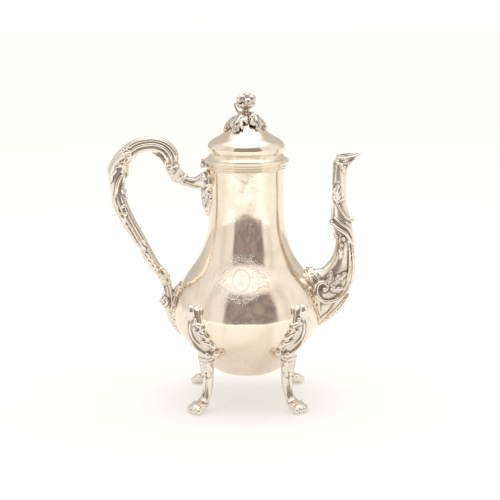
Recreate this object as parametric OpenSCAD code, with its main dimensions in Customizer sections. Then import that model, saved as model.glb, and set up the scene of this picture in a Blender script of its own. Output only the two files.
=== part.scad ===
// Silver coffee pot: baluster body on four cast scroll legs, with a cast spout, a hinged lid
// with a bud finial, and a scroll handle kept cool by two insulating rings.
// The origin is on the table under the middle of the body. The spout points to +X, the handle
// to -X, and the lid hinge lies on the handle side.

/* [Body] */
// Outside diameter of the neck
neck_d = 62; // [52:0.5:75]
// Outside diameter of the belly at its widest
belly_d = 124; // [103:0.5:149]
// Height of the body from its underside to the rim
body_h = 178.5; // [148:0.5:215]
// Height of the widest part of the belly above the underside
belly_h = 52; // [44:0.5:60]
// Thickness of the body and lid sheet
sheet_t = 0.9; // [0.7:0.05:1.2]
// Clear height of the underside above the table
leg_clear = 24.7; // [22:0.1:32]

/* [Lid] */
// Height of the lid dome above its rim moulding
dome_h = 30; // [26:0.5:36]
// How far the lid rim stands out past the neck
rim_out = 4.5; // [3.8:0.1:5.5]
// Gap between the lid and the body's rim when shut
lid_gap = 0.25; // [0.2:0.05:0.5]
// Radial clearance of the bezel inside the neck
bezel_gap = 0.6; // [0.5:0.05:1]
// Depth of the bezel below the rim
bezel_l = 6.5; // [5:0.1:8]

/* [Hinge] */
// Diameter of the hinge knuckles
knuckle_d = 4; // [3.4:0.1:4.8]
// Diameter of the hinge pin
pin_d = 1.6; // [1.3:0.05:2]
// Length of the lid's middle knuckle
lid_knuckle_l = 6; // [5:0.1:8]
// Length of each knuckle on the body
body_knuckle_l = 4.6; // [3.8:0.1:6]

/* [Handle] */
// How far the grip bows out from the line between its two ends
grip_out = 48.4; // [40:0.2:56]
// Thickness of the handle from side to side
grip_w = 11; // [9:0.1:13]
// Diameter of the upper insulating ring
ring_upper_d = 11.4; // [10.6:0.1:13]
// Diameter of the lower insulating ring
ring_lower_d = 9; // [8.4:0.1:11]
// Thickness of the insulating rings
ring_t = 3.7; // [2.5:0.1:4.5]
// Diameter of the spigots on the insulating rings
spigot_d = 5; // [4:0.1:5.4]
// Length of each spigot
spigot_l = 3.4; // [3:0.1:4]
// Diameter of the rivets through the spigots
rivet_d = 1.2; // [1:0.05:1.6]

/* [Spout] */
// Distance from the belly's side to the middle of the upright part of the spout
spout_out = 15; // [11:0.5:20]
// Thickness of the spout's wall
spout_t = 1.2; // [1:0.05:1.6]
// Diameter of the strainer holes behind the spout
strainer_d = 3.4; // [2.5:0.1:3.8]

/* [Legs] */
// Distance of each foot pad from the middle of the pot
foot_r = 58.5; // [50:0.5:70]
// Diameter of the flat under each foot
pad_d = 9; // [7:0.1:10]

/* [Finial] */
// Diameter of the stud that holds the finial
stud_d = 3; // [2.4:0.1:3.6]
// Diameter of each large bud
bud_d = 7; // [6:0.1:8]

/* [Hidden] */

silver = "#d9d2c0";
ivory = "#ece0bd";
fine = 200;           // segments of a turned surface that a casting is fitted to
small_gap = 0.08;     // running clearance of small pins and studs
eps = 0.01;

neck_r = neck_d / 2;
belly_r = belly_d / 2;
base_z = leg_clear;
belly_z = base_z + belly_h;
rim_z = base_z + body_h;

// ---- Curves and lofts -------------------------------------------------------------------

// One point of a smooth cubic through four neighbouring control values
function cubic(a, b, c, d, t) =
    (pow(1 - t, 3) * a + (3 * pow(t, 3) - 6 * t * t + 4) * b
     + (-3 * pow(t, 3) + 3 * t * t + 3 * t + 1) * c + pow(t, 3) * d) / 6;

// Smooth curve near a list of control points, exact at both ends, n steps a span
function near_curve(p, n) =
    let (last = p[len(p) - 1], q = concat([p[0], p[0]], p, [last, last]))
    concat([for (i = [0 : len(q) - 4], k = [0 : n - 1])
                cubic(q[i], q[i + 1], q[i + 2], q[i + 3], k / n)], [last]);

// Smooth curve through every station of a list, n steps a span
function through_point(a, b, c, d, t) =
    0.5 * (2 * b + (c - a) * t + (2 * a - 5 * b + 4 * c - d) * t * t
           + (3 * b - 3 * c + d - a) * pow(t, 3));
function through_curve(p, n) =
    let (last = len(p) - 1)
    concat([for (i = [0 : last - 1], k = [0 : n - 1])
                through_point(p[max(i - 1, 0)], p[i], p[i + 1], p[min(i + 2, last)], k / n)],
           [p[last]]);

// Middle of a ring of points
function ring_middle(ring) =
    [for (i = [0 : 2]) [for (q = ring) q[i]] * [for (q = ring) 1 / len(ring)]];

// Closed solid through a list of rings, each with the same number of points, which run
// anticlockwise about the way that the rings go
module loft(rings) {
    n = len(rings[0]);
    m = len(rings);
    points = concat([for (r = rings, q = r) q], [ring_middle(rings[0]), ring_middle(rings[m - 1])]);
    sides = [for (j = [0 : m - 2], i = [0 : n - 1]) let (k = (i + 1) % n)
        each [[j * n + i, (j + 1) * n + k, j * n + k],
              [j * n + i, (j + 1) * n + i, (j + 1) * n + k]]];
    first = [for (i = [0 : n - 1]) [m * n, i, (i + 1) % n]];
    final = [for (i = [0 : n - 1]) [m * n + 1, (m - 1) * n + (i + 1) % n, (m - 1) * n + i]];
    polyhedron(points = points, faces = concat(sides, first, final), convexity = 6);
}

function unit(v) = v / norm(v);

// Rings of a bar swept in the XZ plane. A station is [x, z, width in the plane, width in Y].
// first and final set the directions of the two ends.
function bar_rings(st, sides, first = undef, final = undef) =
    let (last = len(st) - 1)
    [for (i = [0 : last])
        let (a = st[max(i - 1, 0)], b = st[min(i + 1, last)],
             dir = i == 0 && first != undef ? first : i == last && final != undef ? final
                 : unit([b[0] - a[0], b[1] - a[1]]),
             out = [dir[1], -dir[0]])
        [for (k = [0 : sides - 1])
            let (t = 360 * k / sides, w = st[i][2] / 2 * cos(t), y = st[i][3] / 2 * sin(t))
            [st[i][0] + w * out[0], y, st[i][1] + w * out[1]]]];

// ---- Body profile -----------------------------------------------------------------------

// A control point above the widest part: shares of the way from neck to belly, and up to the rim
function above(out, up) = [neck_r + out * (belly_r - neck_r), belly_z + up * (rim_z - belly_z)];
// A control point below it: shares of the belly's radius and of its height above the underside
function below(out, up) = [out * belly_r, base_z + up * belly_h];

BODY_POINTS = [above(0, 1), above(0, 0.86), above(0, 0.72), above(0.01, 0.595),
    above(0.105, 0.485), above(0.3, 0.355), above(0.74, 0.23), above(0.96, 0.1),
    below(1.03, 0.86), below(0.84, 0.52), below(0.6, 0.255), below(0.42, 0), below(0.19, 0),
    below(0, 0)];
BODY_OUTER = near_curve(BODY_POINTS, 4);

// The same line moved inward by a distance
function inward(line, by) =
    let (last = len(line) - 1)
    [for (i = [0 : last])
        let (d = unit(line[min(i + 1, last)] - line[max(i - 1, 0)]))
        i == 0 ? [line[0][0] - by, line[0][1]]
        : i == last ? [0, line[last][1] + by]
        : line[i] + by * [d[1], -d[0]]];
function flip(list) = [for (i = [len(list) - 1 : -1 : 0]) list[i]];

BODY_TABLE = [for (p = flip(BODY_OUTER)) if (p[0] > 0.5 * below(0.42, 0)[0]) [p[1], p[0]]];
// Outside radius of the body at a height
function body_r(z) = lookup(z, BODY_TABLE);

// The whole body as a solid of its outside shape, used to fit the castings
module body_outside() {
    rotate_extrude($fn = fine) polygon(concat(BODY_OUTER, [[0, rim_z]]));
}

// ---- Strips that lie on the body --------------------------------------------------------

sunk = 1.6;    // how deep a casting is drawn into the body before it is cut to fit

// Point on the body's side: along the surface sideways, out from it, and up
function on_body(side, out, z) =
    let (r = body_r(z), a = side / r * 180 / PI) [(r + out) * cos(a), (r + out) * sin(a), z];

// Rings of a strip on the body's side. A station is [z, sideways place, width, height]
function strip_rings(st, sides) =
    let (turn = sign(st[len(st) - 1][0] - st[0][0]))
    [for (s = st) [for (k = [0 : sides - 1]) let (t = 360 * k / sides)
        on_body(s[1] + turn * s[2] / 2 * sin(t), cos(t) * (cos(t) > 0 ? s[3] : sunk), s[0])]];

// A round bead with its middle at a place on the body's side
module bead_on_body(side, out, z, d) {
    translate(on_body(side, out, z)) sphere(d = d, $fn = 10);
}

// A casting fitted to the outside of the body, in one mesh
module fitted() {
    resize([0, 0, 0]) difference() {
        union() children();
        body_outside();
    }
}

// ---- Body, collar and spout -------------------------------------------------------------

strainer_pitch = strainer_d + 2;
strainer_z = belly_z;
spout_x = belly_r + spout_out;

module body_shell() {
    inner = inward(BODY_OUTER, sheet_t);
    color(silver) difference() {
        rotate_extrude($fn = fine) polygon(concat(BODY_OUTER, flip(inner)));
        for (row = [-2 : 2], k = [0 : 4 - abs(row)])
            translate([0, (k - (4 - abs(row)) / 2) * strainer_pitch,
                       strainer_z + row * strainer_pitch * sin(60)])
                rotate([0, 90, 0]) cylinder(d = strainer_d, h = belly_r + 5, $fn = 24);
    }
}

collar_h = 5.8;
collar_r = neck_r + 2.6;
COLLAR_LINE = [[neck_r, rim_z - collar_h], [neck_r + 1.2, rim_z - collar_h],
    [neck_r + 1.6, rim_z - 4.9], [neck_r + 1.1, rim_z - 4.1], [neck_r + 2.1, rim_z - 3.7],
    [neck_r + 2.5, rim_z - 2.9], [neck_r + 2, rim_z - 2], [collar_r, rim_z - 1.5],
    [collar_r, rim_z - 0.3], [collar_r - 0.3, rim_z]];

// The collar with its middle filled, which the hinge is fitted to
module collar_outside() {
    rotate_extrude($fn = fine)
        polygon(concat([[0, rim_z - collar_h]], COLLAR_LINE, [[0, rim_z]]));
}

module neck_collar() {
    color(silver) rotate_extrude($fn = fine) polygon(concat(COLLAR_LINE, [[neck_r, rim_z]]));
}

// The spout as pairs of edge points, from its root in the belly to its mouth. A station is
// [x of the inner edge, its height, x of the outer edge, its height, width in Y, edge]: x is
// from the upright part, heights are per cent of the way from the root's middle to the lip, and
// edge is how far the outer side narrows.
root_z = belly_z + 7;
lip_z = rim_z + 6.8;
SPOUT = [[-33, 22, -37, -20.5, 27, 0], [-25, 22.5, -24, -21.5, 27, 0],
    [-19, 22.5, -15, -16, 26, 0.1], [-14, 23.5, -7, -10.5, 25, 0.2], [-9.5, 26.5, 1, -1.5, 23, 0.3],
    [-5.5, 31.5, 9, 10, 20.5, 0.3], [-3.5, 38.5, 12.8, 22, 18, 0.3],
    [-3.1, 43.5, 13.6, 35, 16.5, 0.25], [-4.5, 49, 12.6, 45, 15.2, 0.2],
    [-6, 55, 10.6, 54, 14.4, 0.15], [-6.3, 63, 7.6, 62, 13, 0.15], [-6.3, 70, 6, 70, 12.4, 0.2],
    [-6.1, 79.5, 5.7, 79.5, 12.4, 0.3], [-5.2, 89, 7.3, 89, 12.6, 0.5],
    [-3.8, 94.5, 13, 95.3, 12.8, 0.75], [-1.9, 98.6, 20.3, 100.5, 11.6, 0.93]];
MOUTH_DIR = unit([-0.1, 1]);

function spout_z(percent) = root_z + percent / 100 * (lip_z - root_z);
function spout_rings(wall, sides) =
    [for (s = through_curve(SPOUT, 2))
        let (a = [spout_x + s[0], spout_z(s[1])], b = [spout_x + s[2], spout_z(s[3])],
             half = (b - a) / 2 - wall * unit(b - a))
        [for (k = [0 : sides - 1]) let (t = 360 * k / sides, q = (a + b) / 2 + cos(t) * half)
            [q[0], (s[4] / 2 - wall) * sin(t) * (1 - s[5] * (1 + cos(t)) / 2), q[1]]]];

module spout() {
    channel = spout_rings(spout_t, 20);
    last = channel[len(channel) - 1];
    color(silver) fitted() {
        difference() {
            union() {
                loft(spout_rings(0, 20));
                for (side = [-1, 1]) {
                    // Three berries where the ribbon crosses
                    for (b = [[0, 44], [4.5, 42.5], [2.6, 38]])
                        translate([spout_x + b[0], side * 7.8, spout_z(b[1])])
                            sphere(d = 3.4, $fn = 10);
                    // Volute of the scroll at the root
                    translate([spout_x - 11, side * 11.6, spout_z(7)]) scale([1, 0.45, 1])
                        sphere(d = 9, $fn = 12);
                }
            }
            loft(concat(channel, [[for (q = last) q + 3 * [MOUTH_DIR[0], 0, MOUTH_DIR[1]]]]));
        }
    }
}

// ---- Legs -------------------------------------------------------------------------------

toe_d = 5.6;
knee_z = base_z + 24;

// Leg stations: [out from the middle, z, thickness outward, width sideways]
LEG = [[foot_r + 6.5, 3.4, 4.6, 9], [foot_r + 3, 4.4, 8, 15], [foot_r - 1.5, 5.2, 9.6, 16],
    [foot_r - 5.5, 7, 8.4, 12], [foot_r - 9, 11.5, 7.4, 9.4], [foot_r - 11.6, base_z - 6, 8, 9.6],
    [foot_r - 13, base_z + 3, 8.4, 9.8], [foot_r - 12.6, base_z + 11, 9, 10.6],
    [foot_r - 11, knee_z - 5, 9.4, 12.6], [foot_r - 9, knee_z + 1, 8.8, 15],
    [foot_r - 8, knee_z + 7, 5, 12]];

// The scroll plate above the knee: [z, sideways place, width, height]
plate_top = belly_z + 15;
function up_plate(share) = knee_z - 6 + share * (plate_top - knee_z + 6);
PLATE = [[up_plate(0), 0, 12, 3.5], [up_plate(0.12), -2.5, 19, 5], [up_plate(0.3), -4.5, 24, 4],
    [up_plate(0.48), -3.5, 22, 3], [up_plate(0.65), -2, 18, 2.8], [up_plate(0.8), -1.8, 12, 3],
    [up_plate(0.92), -1.8, 9, 3.8], [up_plate(1), -1.8, 3, 1.6]];

// One leg standing out along +X, with the lobes of its leaf towards -Y
module leg() {
    color(silver) union() {
        fitted() {
            difference() {
                union() {
                    loft(bar_rings(through_curve(LEG, 2), 12));
                    for (k = [-1.5 : 1.5])
                        translate([foot_r + 4.5 - abs(k), k * 3.9, 3.1]) scale([1.5, 0.85, 1.1])
                            sphere(d = toe_d, $fn = 10);
                }
                translate([foot_r, 0, -10 + 0.4]) cube([60, 60, 20], center = true);
            }
            loft(strip_rings(through_curve(PLATE, 2), 12));
            bead_on_body(-1.8, 2.6, up_plate(0.92), 7);
            // Two beads over the knee, and the lobes of the leaf above them
            for (b = [[0.12, -8.5, 4, 5.4], [0.16, -14, 3.2, 5.2], [0.34, -15.5, 2, 5.6],
                      [0.52, -13, 1.8, 5.2], [0.68, -10, 1.8, 4.6]])
                bead_on_body(b[1], b[2], up_plate(b[0]), b[3]);
            // Leaf on the front of the shaft
            translate([foot_r - 8.4, 0, base_z + 8]) scale([0.6, 1, 2.4]) sphere(d = 6, $fn = 10);
        }
        translate([foot_r, 0, 0]) cylinder(d = pad_d, h = 1.4, $fn = 48);
    }
}

module leg_front_left() { mirror([0, 1, 0]) rotate([0, 0, 135]) leg(); }
module leg_front_right() { rotate([0, 0, -45]) leg(); }
module leg_rear_left() { rotate([0, 0, 135]) leg(); }
module leg_rear_right() { mirror([0, 1, 0]) rotate([0, 0, -45]) leg(); }

// ---- Handle -----------------------------------------------------------------------------

// Middles of the insulating rings, and the direction from the grip into each socket
upper = [-(neck_r + 26.6), rim_z - 10.9];
lower = [-(belly_r + 8), belly_z + 29.6];
upper_dir = [cos(-35), sin(-35)];
lower_dir = [cos(-63), sin(-63)];
spigot_gap = 0.1;     // clearance round and past each spigot
chord = lower - upper;
chord_out = [unit(chord)[1], -unit(chord)[0]];

// A station of the grip: [share of the way down, share of the bow outward, width]
function grip_at(s) =
    let (p = upper + s[0] * chord + s[1] * grip_out * chord_out)
    [p[0], p[1], s[2], min(s[2], grip_w)];
GRIP = [[-0.065, 0.075, 12], [-0.114, 0.11, 12], [-0.18, 0.155, 12.2], [-0.226, 0.23, 11.8],
    [-0.253, 0.335, 11.8], [-0.259, 0.475, 11.7], [-0.227, 0.675, 11.8], [-0.169, 0.81, 12.6],
    [-0.079, 0.94, 12.8], [0.03, 1, 13.6], [0.124, 1, 13.4], [0.21, 0.98, 13],
    [0.295, 0.925, 12.8], [0.38, 0.85, 12.3], [0.475, 0.74, 11.6], [0.58, 0.6, 10.6],
    [0.685, 0.46, 10.5], [0.795, 0.315, 10], [0.89, 0.18, 9]];

// Places something made along +Z at a ring, pointing from the grip into the socket
module at_ring(middle, dir) {
    translate([middle[0], 0, middle[1]]) rotate([0, atan2(dir[0], dir[1]), 0]) children();
}

module spigot_bore(middle, dir, toward) {
    at_ring(middle, dir)
        translate([0, 0, toward * (ring_t / 2 + spigot_l + spigot_gap) / 2])
            cylinder(d = spigot_d + 2 * spigot_gap, h = ring_t / 2 + spigot_l + spigot_gap,
                     center = true, $fn = 48);
}

// All that lies past the grip's side of a ring, which squares the grip's end to the ring
module ring_face(middle, dir, ring_d) {
    at_ring(middle, dir) translate([0, 0, -ring_t / 2]) cylinder(d = 2 * ring_d, h = 12, $fn = 48);
}

// The two rivets of a ring, as holes or as the rivets themselves
module ring_rivets(middle, dir, d, length) {
    for (toward = [-1, 1])
        at_ring(middle, dir) translate([0, 0, toward * (ring_t / 2 + spigot_l / 2)])
            rotate([90, 0, 0]) cylinder(d = d, h = length, center = true, $fn = 24);
}

module insulator(middle, dir, ring_d) {
    difference() {
        at_ring(middle, dir) {
            cylinder(d = ring_d, h = ring_t, center = true, $fn = 64);
            cylinder(d = spigot_d, h = ring_t + 2 * spigot_l, center = true, $fn = 48);
        }
        ring_rivets(middle, dir, rivet_d, 40);
    }
}

module handle_grip() {
    start = upper - ring_t / 2 * upper_dir;
    end = lower - ring_t / 2 * lower_dir;
    line = concat([[start[0], start[1], ring_upper_d, ring_upper_d]],
                  [for (s = GRIP) grip_at(s)],
                  [[end[0], end[1], ring_lower_d, ring_lower_d]]);
    color(silver) difference() {
        resize([0, 0, 0]) union() {
            loft(bar_rings(through_curve(line, 2), 16, -upper_dir, lower_dir));
            // Leaf tip that breaks the outer line, and the berries below it
            translate([grip_at([0.2, 1.06, 1])[0], 0, grip_at([0.2, 1.06, 1])[1]])
                rotate([0, -20, 0]) scale([0.75, 0.7, 2.4]) sphere(d = 8, $fn = 10);
            for (side = [-1, 1], s = [[0.34, 0.8], [0.4, 0.86], [0.42, 0.74]])
                translate([grip_at([s[0], s[1], 1])[0], side * (grip_w / 2 - 0.6),
                           grip_at([s[0], s[1], 1])[1]]) sphere(d = 3.4, $fn = 10);
        }
        ring_face(upper, upper_dir, ring_upper_d);
        ring_face(lower, lower_dir, ring_lower_d);
        spigot_bore(upper, upper_dir, -1);
        spigot_bore(lower, lower_dir, -1);
        ring_rivets(upper, upper_dir, rivet_d, 40);
        ring_rivets(lower, lower_dir, rivet_d, 40);
    }
}

// The arm of the upper socket, from the ring into the neck: [x inward of the ring, z below, ...]
module handle_socket_upper() {
    face = upper + ring_t / 2 * upper_dir;
    reach = -face[0] - neck_r;
    arm = [[face[0], face[1], ring_upper_d, ring_upper_d],
        [face[0] + 0.11 * reach, face[1] - 1.9, 11, 10.6],
        [face[0] + 0.3 * reach, face[1] - 4.4, 9.6, 9],
        [face[0] + 0.5 * reach, face[1] - 5.6, 10, 9.4],
        [face[0] + 0.68 * reach, face[1] - 5, 14, 13], [face[0] + 0.84 * reach, face[1] - 4.6, 19, 18],
        [face[0] + 1.08 * reach, face[1] - 4.6, 21, 20]];
    top = face[1] + 6;
    leaf = [[top, 0, 5, 2], [top - 4, 0, 14, 5], [top - 10, 0, 20, 6.5], [top - 18, 0, 21, 6],
        [top - 26, 0, 17, 5.2], [top - 33, 0, 10, 3.6], [top - 40, 0, 2, 0.6]];
    color(silver) difference() {
        fitted() {
            loft(bar_rings(through_curve(arm, 2), 18, upper_dir, [1, 0]));
            mirror([1, 0, 0]) loft(strip_rings(through_curve(leaf, 2), 14));
        }
        spigot_bore(upper, upper_dir, 1);
        ring_rivets(upper, upper_dir, rivet_d, 40);
    }
}

// The lower socket runs down from the ring, curls at its back, and spreads on the belly
module handle_socket_lower() {
    face = lower + ring_t / 2 * lower_dir;
    arm = [[face[0], face[1], ring_lower_d, ring_lower_d],
        [face[0] + 1.3, face[1] - 4, 8.8, 8.6], [-(belly_r + 4.6), belly_z + 18, 9.2, 8.6],
        [-(belly_r + 4.4), belly_z + 12, 11, 9.4], [-(belly_r + 3.6), belly_z + 6, 12, 10.5],
        [-(belly_r + 2), belly_z - 1, 11, 11], [-(belly_r + 0.2), belly_z - 8, 8.4, 9.5],
        [-(belly_r - 2.4), belly_z - 15, 5, 6.5], [-(belly_r - 5), belly_z - 20, 1.6, 2]];
    leaf = [[belly_z + 26, 0, 3, 1.4], [belly_z + 19, 0, 7, 5], [belly_z + 8, 0, 13, 3.6],
        [belly_z - 3, 0, 14, 2.6], [belly_z - 13, 0, 9, 1.8], [belly_z - 22, 0, 2, 0.8]];
    color(silver) difference() {
        fitted() {
            loft(bar_rings(through_curve(arm, 2), 16, lower_dir));
            mirror([1, 0, 0]) loft(strip_rings(through_curve(leaf, 2), 12));
            translate([-(belly_r + 9.6), 0, belly_z + 8]) rotate([90, 0, 0])
                cylinder(d = 6, h = 8, center = true, $fn = 20);
        }
        spigot_bore(lower, lower_dir, 1);
        ring_rivets(lower, lower_dir, rivet_d, 40);
    }
}

module handle_insulator_upper() { color(ivory) insulator(upper, upper_dir, ring_upper_d); }
module handle_insulator_lower() { color(ivory) insulator(lower, lower_dir, ring_lower_d); }

module handle_rivets() {
    color(silver) {
        ring_rivets(upper, upper_dir, rivet_d, ring_upper_d - 0.4);
        ring_rivets(lower, lower_dir, rivet_d, ring_lower_d - 0.4);
    }
}

// ---- Hinge ------------------------------------------------------------------------------

seat_z = rim_z + lid_gap;
rim_r = neck_r + rim_out;
knuckle_r = knuckle_d / 2;
collar_gap = 0.3;     // clearance between the collar and what turns beside it
hinge_drop = 0.45;    // clearance between the knuckles and the lid's rim above them
hinge_x = -(collar_r + collar_gap + knuckle_r);
hinge_z = seat_z - hinge_drop - knuckle_r;
knuckle_gap = 0.2;    // side clearance between neighbouring knuckles
body_knuckle_y = lid_knuckle_l / 2 + knuckle_gap + body_knuckle_l / 2;

module along_hinge(y) { translate([hinge_x, y, hinge_z]) rotate([90, 0, 0]) children(); }

module hinge_knuckles_body() {
    color(silver) difference() {
        for (side = [-1, 1]) {
            along_hinge(side * body_knuckle_y)
                cylinder(r = knuckle_r, h = body_knuckle_l, center = true, $fn = 40);
            translate([hinge_x, side * body_knuckle_y - body_knuckle_l / 2,
                       hinge_z - knuckle_r + 0.6])
                cube([collar_r, body_knuckle_l, knuckle_d - 1.6]);
        }
        along_hinge(0) cylinder(d = pin_d, h = 60, center = true, $fn = 32);
        collar_outside();
        translate([0, 0, rim_z - 20]) cylinder(r = neck_r + eps, h = 40, $fn = fine);
    }
}

module hinge_knuckle_lid() {
    lug_out = 1.2;    // how far the lug stands out past the knuckle's middle
    color(silver) difference() {
        union() {
            along_hinge(0) cylinder(r = knuckle_r, h = lid_knuckle_l, center = true, $fn = 40);
            translate([hinge_x - lug_out, -lid_knuckle_l / 2, hinge_z])
                cube([lug_out + knuckle_r, lid_knuckle_l, seat_z - hinge_z + 1.8]);
        }
        along_hinge(0) cylinder(d = pin_d + 2 * small_gap, h = 60, center = true, $fn = 32);
        translate([0, 0, seat_z]) cylinder(r = rim_r, h = 20, $fn = fine);
    }
}

module hinge_pin() {
    ball_d = pin_d + 1.8;
    ball_y = body_knuckle_y + body_knuckle_l / 2 + ball_d / 2 + small_gap;
    color(silver) union() {
        along_hinge(0) cylinder(d = pin_d, h = 2 * ball_y, center = true, $fn = 32);
        for (side = [-1, 1]) along_hinge(side * ball_y) sphere(d = ball_d, $fn = 32);
    }
}

// ---- Lid --------------------------------------------------------------------------------

bezel_r = neck_r - sheet_t - bezel_gap;
rim_h = 7.2;
dome_z = seat_z + rim_h;
top_z = dome_z + dome_h;

module lid_rim() {
    color(silver) rotate_extrude($fn = fine) polygon([[bezel_r, seat_z], [rim_r, seat_z],
        [rim_r, seat_z + 1], [rim_r - 0.5, seat_z + 1.3], [rim_r - 0.2, seat_z + 2.2],
        [rim_r - 1.2, seat_z + 2.6], [rim_r - 2.6, seat_z + 3.5], [rim_r - 3.8, seat_z + 4.9],
        [rim_r - 4.6, seat_z + 6.4], [bezel_r + 1, dome_z], [bezel_r, dome_z]]);
}

module lid_bezel() {
    color(silver) rotate_extrude($fn = fine) polygon([[bezel_r - sheet_t, rim_z - bezel_l],
        [bezel_r - 0.2, rim_z - bezel_l], [bezel_r, rim_z - bezel_l + 0.8], [bezel_r, seat_z + 4],
        [bezel_r - sheet_t, seat_z + 4]]);
}

// A point of the dome: share of the bezel's radius out, share of the dome's height up
function dome_at(out, up) = [out * (bezel_r + 1), dome_z + up * dome_h];
DOME_OUTER = near_curve([dome_at(1, 0), dome_at(1.045, 0.06), dome_at(1.07, 0.18),
    dome_at(0.99, 0.34), dome_at(0.81, 0.43), dome_at(0.63, 0.54), dome_at(0.46, 0.7),
    dome_at(0.3, 0.87), dome_at(0.2, 0.97), dome_at(0.16, 1), dome_at(0.1, 1)], 4);
dome_hole_r = stud_d / 2 + small_gap;

module lid_dome() {
    last = DOME_OUTER[len(DOME_OUTER) - 1];
    inner = concat([for (i = [0 : len(DOME_OUTER) - 2])
        let (a = DOME_OUTER[max(i - 1, 0)], b = DOME_OUTER[i + 1], d = unit(b - a))
        i == 0 ? DOME_OUTER[0] - [sheet_t, 0] : DOME_OUTER[i] + sheet_t * [-d[1], d[0]]],
        [last - [0, sheet_t]]);
    color(silver) rotate_extrude($fn = fine)
        polygon(concat(DOME_OUTER, [[dome_hole_r, top_z], [dome_hole_r, top_z - sheet_t]],
                       flip(inner)));
}

// ---- Finial -----------------------------------------------------------------------------

leaf_t = 1.4;
stem_z = top_z + leaf_t;
stem_h = 4.5;
bud_z = stem_z + stem_h;

// Height of the dome's outside at a radius
DOME_TABLE = [for (p = flip(DOME_OUTER)) if (p[1] > dome_at(0, 0.25)[1]) [p[0], p[1]]];
function dome_height(r) = lookup(r, DOME_TABLE);

// One drooping leaf along +X: [out, width, lift above the dome]
leaf_lift = 1.7;
module finial_leaf(length) {
    st = through_curve([[2.4, 4, 0.7], [5, 7, leaf_lift], [8.5, 9.5, 2.1], [12, 9, 1.7],
                        [15, 6.5, 1.3], [17, 2, 1]], 2);
    n = 8;
    loft([for (s = st) let (x = s[0] * length, z = dome_height(x) + s[2])
        [for (k = [0 : n - 1]) let (t = 360 * k / n, y = s[1] / 2 * cos(t))
            [x, y, z + leaf_t / 2 * sin(t) - 0.02 * y * y * s[0] / 6]]]);
}

module finial_leaves() {
    color(silver) difference() {
        union() {
            resize([0, 0, 0]) difference() {
                union() {
                    for (leaf = [[-20, 0.95], [48, 0.85], [118, 0.9], [190, 1.1], [262, 1]])
                        rotate([0, 0, leaf[0]]) finial_leaf(leaf[1]);
                    translate([3.6, -6.6, top_z + 1]) sphere(d = 4, $fn = 12);
                }
                rotate_extrude($fn = 96) polygon(concat([for (p = DOME_OUTER)
                    if (p[1] > dome_z + 5) p + [0, 0.15]], [[0, top_z + 0.15], [0, dome_z + 5]]));
                cylinder(r = 4.2, h = 400);
            }
            translate([0, 0, top_z]) cylinder(r = 5, h = leaf_t, $fn = 48);
        }
        translate([0, 0, top_z - 5]) cylinder(d = stud_d + 2 * small_gap, h = 20, $fn = 32);
        translate([0, 0, stem_z]) cylinder(r = 4.6, h = 20, $fn = 48);
    }
}

// The stem with its stud down through the dome, and a curled tendril at its side
module finial_stem() {
    tendril_d = 1.8;
    tendril_z = dome_height(5.5) + leaf_lift + (leaf_t + tendril_d) / 2 + small_gap;
    tendril = [[-2.4, 0.3], [-5, 0], [-7.8, 1.1], [-9.2, 3.4], [-9.8, 6]];
    color(silver) union() {
        translate([0, 0, top_z - sheet_t - 5])
            cylinder(d = stud_d, h = sheet_t + leaf_t + 5 + eps, $fn = 32);
        translate([0, 0, stem_z]) cylinder(r1 = 3.9, r2 = 2.8, h = stem_h, $fn = 32);
        translate([0, -1.4, tendril_z]) loft(bar_rings([for (p = through_curve(tendril, 3))
            [p[0], p[1], tendril_d, tendril_d]], 8));
    }
}

// The cluster of buds in its calyx, standing on the stem
module finial_buds() {
    color(silver) resize([0, 0, 0]) difference() {
        translate([-0.4, 0, bud_z]) union() {
            translate([0, 0, 2.6]) scale([1.15, 1, 0.5]) sphere(d = 13, $fn = 18);
            for (b = [[-3.6, -1.8, 7.4, 1], [3.2, -2.2, 7.2, 1], [0.4, 3.4, 7.6, 1],
                      [0.8, 0.4, 9.8, 0.92]])
                translate([b[0], b[1], b[2]]) sphere(d = bud_d * b[3], $fn = 14);
        }
        translate([0, 0, bud_z - 10]) cube([40, 40, 20], center = true);
    }
}

module finial_nut() {
    nut_h = 2;
    color(silver) translate([0, 0, top_z - sheet_t - nut_h]) difference() {
        cylinder(d = 2 * stud_d, h = nut_h, $fn = 6);
        translate([0, 0, -1]) cylinder(d = stud_d + small_gap, h = nut_h + 2, $fn = 32);
    }
}

body_shell();
neck_collar();
spout();
leg_front_left();
leg_front_right();
leg_rear_left();
leg_rear_right();
handle_socket_upper();
handle_insulator_upper();
handle_grip();
handle_insulator_lower();
handle_socket_lower();
handle_rivets();
hinge_knuckles_body();
hinge_knuckle_lid();
hinge_pin();
lid_dome();
lid_rim();
lid_bezel();
finial_leaves();
finial_stem();
finial_buds();
finial_nut();
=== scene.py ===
"""Silver coffee pot: turned body and lid, chased castings, ivory rings and old polished silver.

Lengths inside the making functions are millimetres, as a silversmith's are, and become metres
when a piece's mesh is made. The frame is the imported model's: the origin on the table under the
body, +Z up, +X to the spout, -X to the handle.
"""
import math

import bpy
import numpy as np
from mathutils import Matrix, Vector, noise


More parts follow.
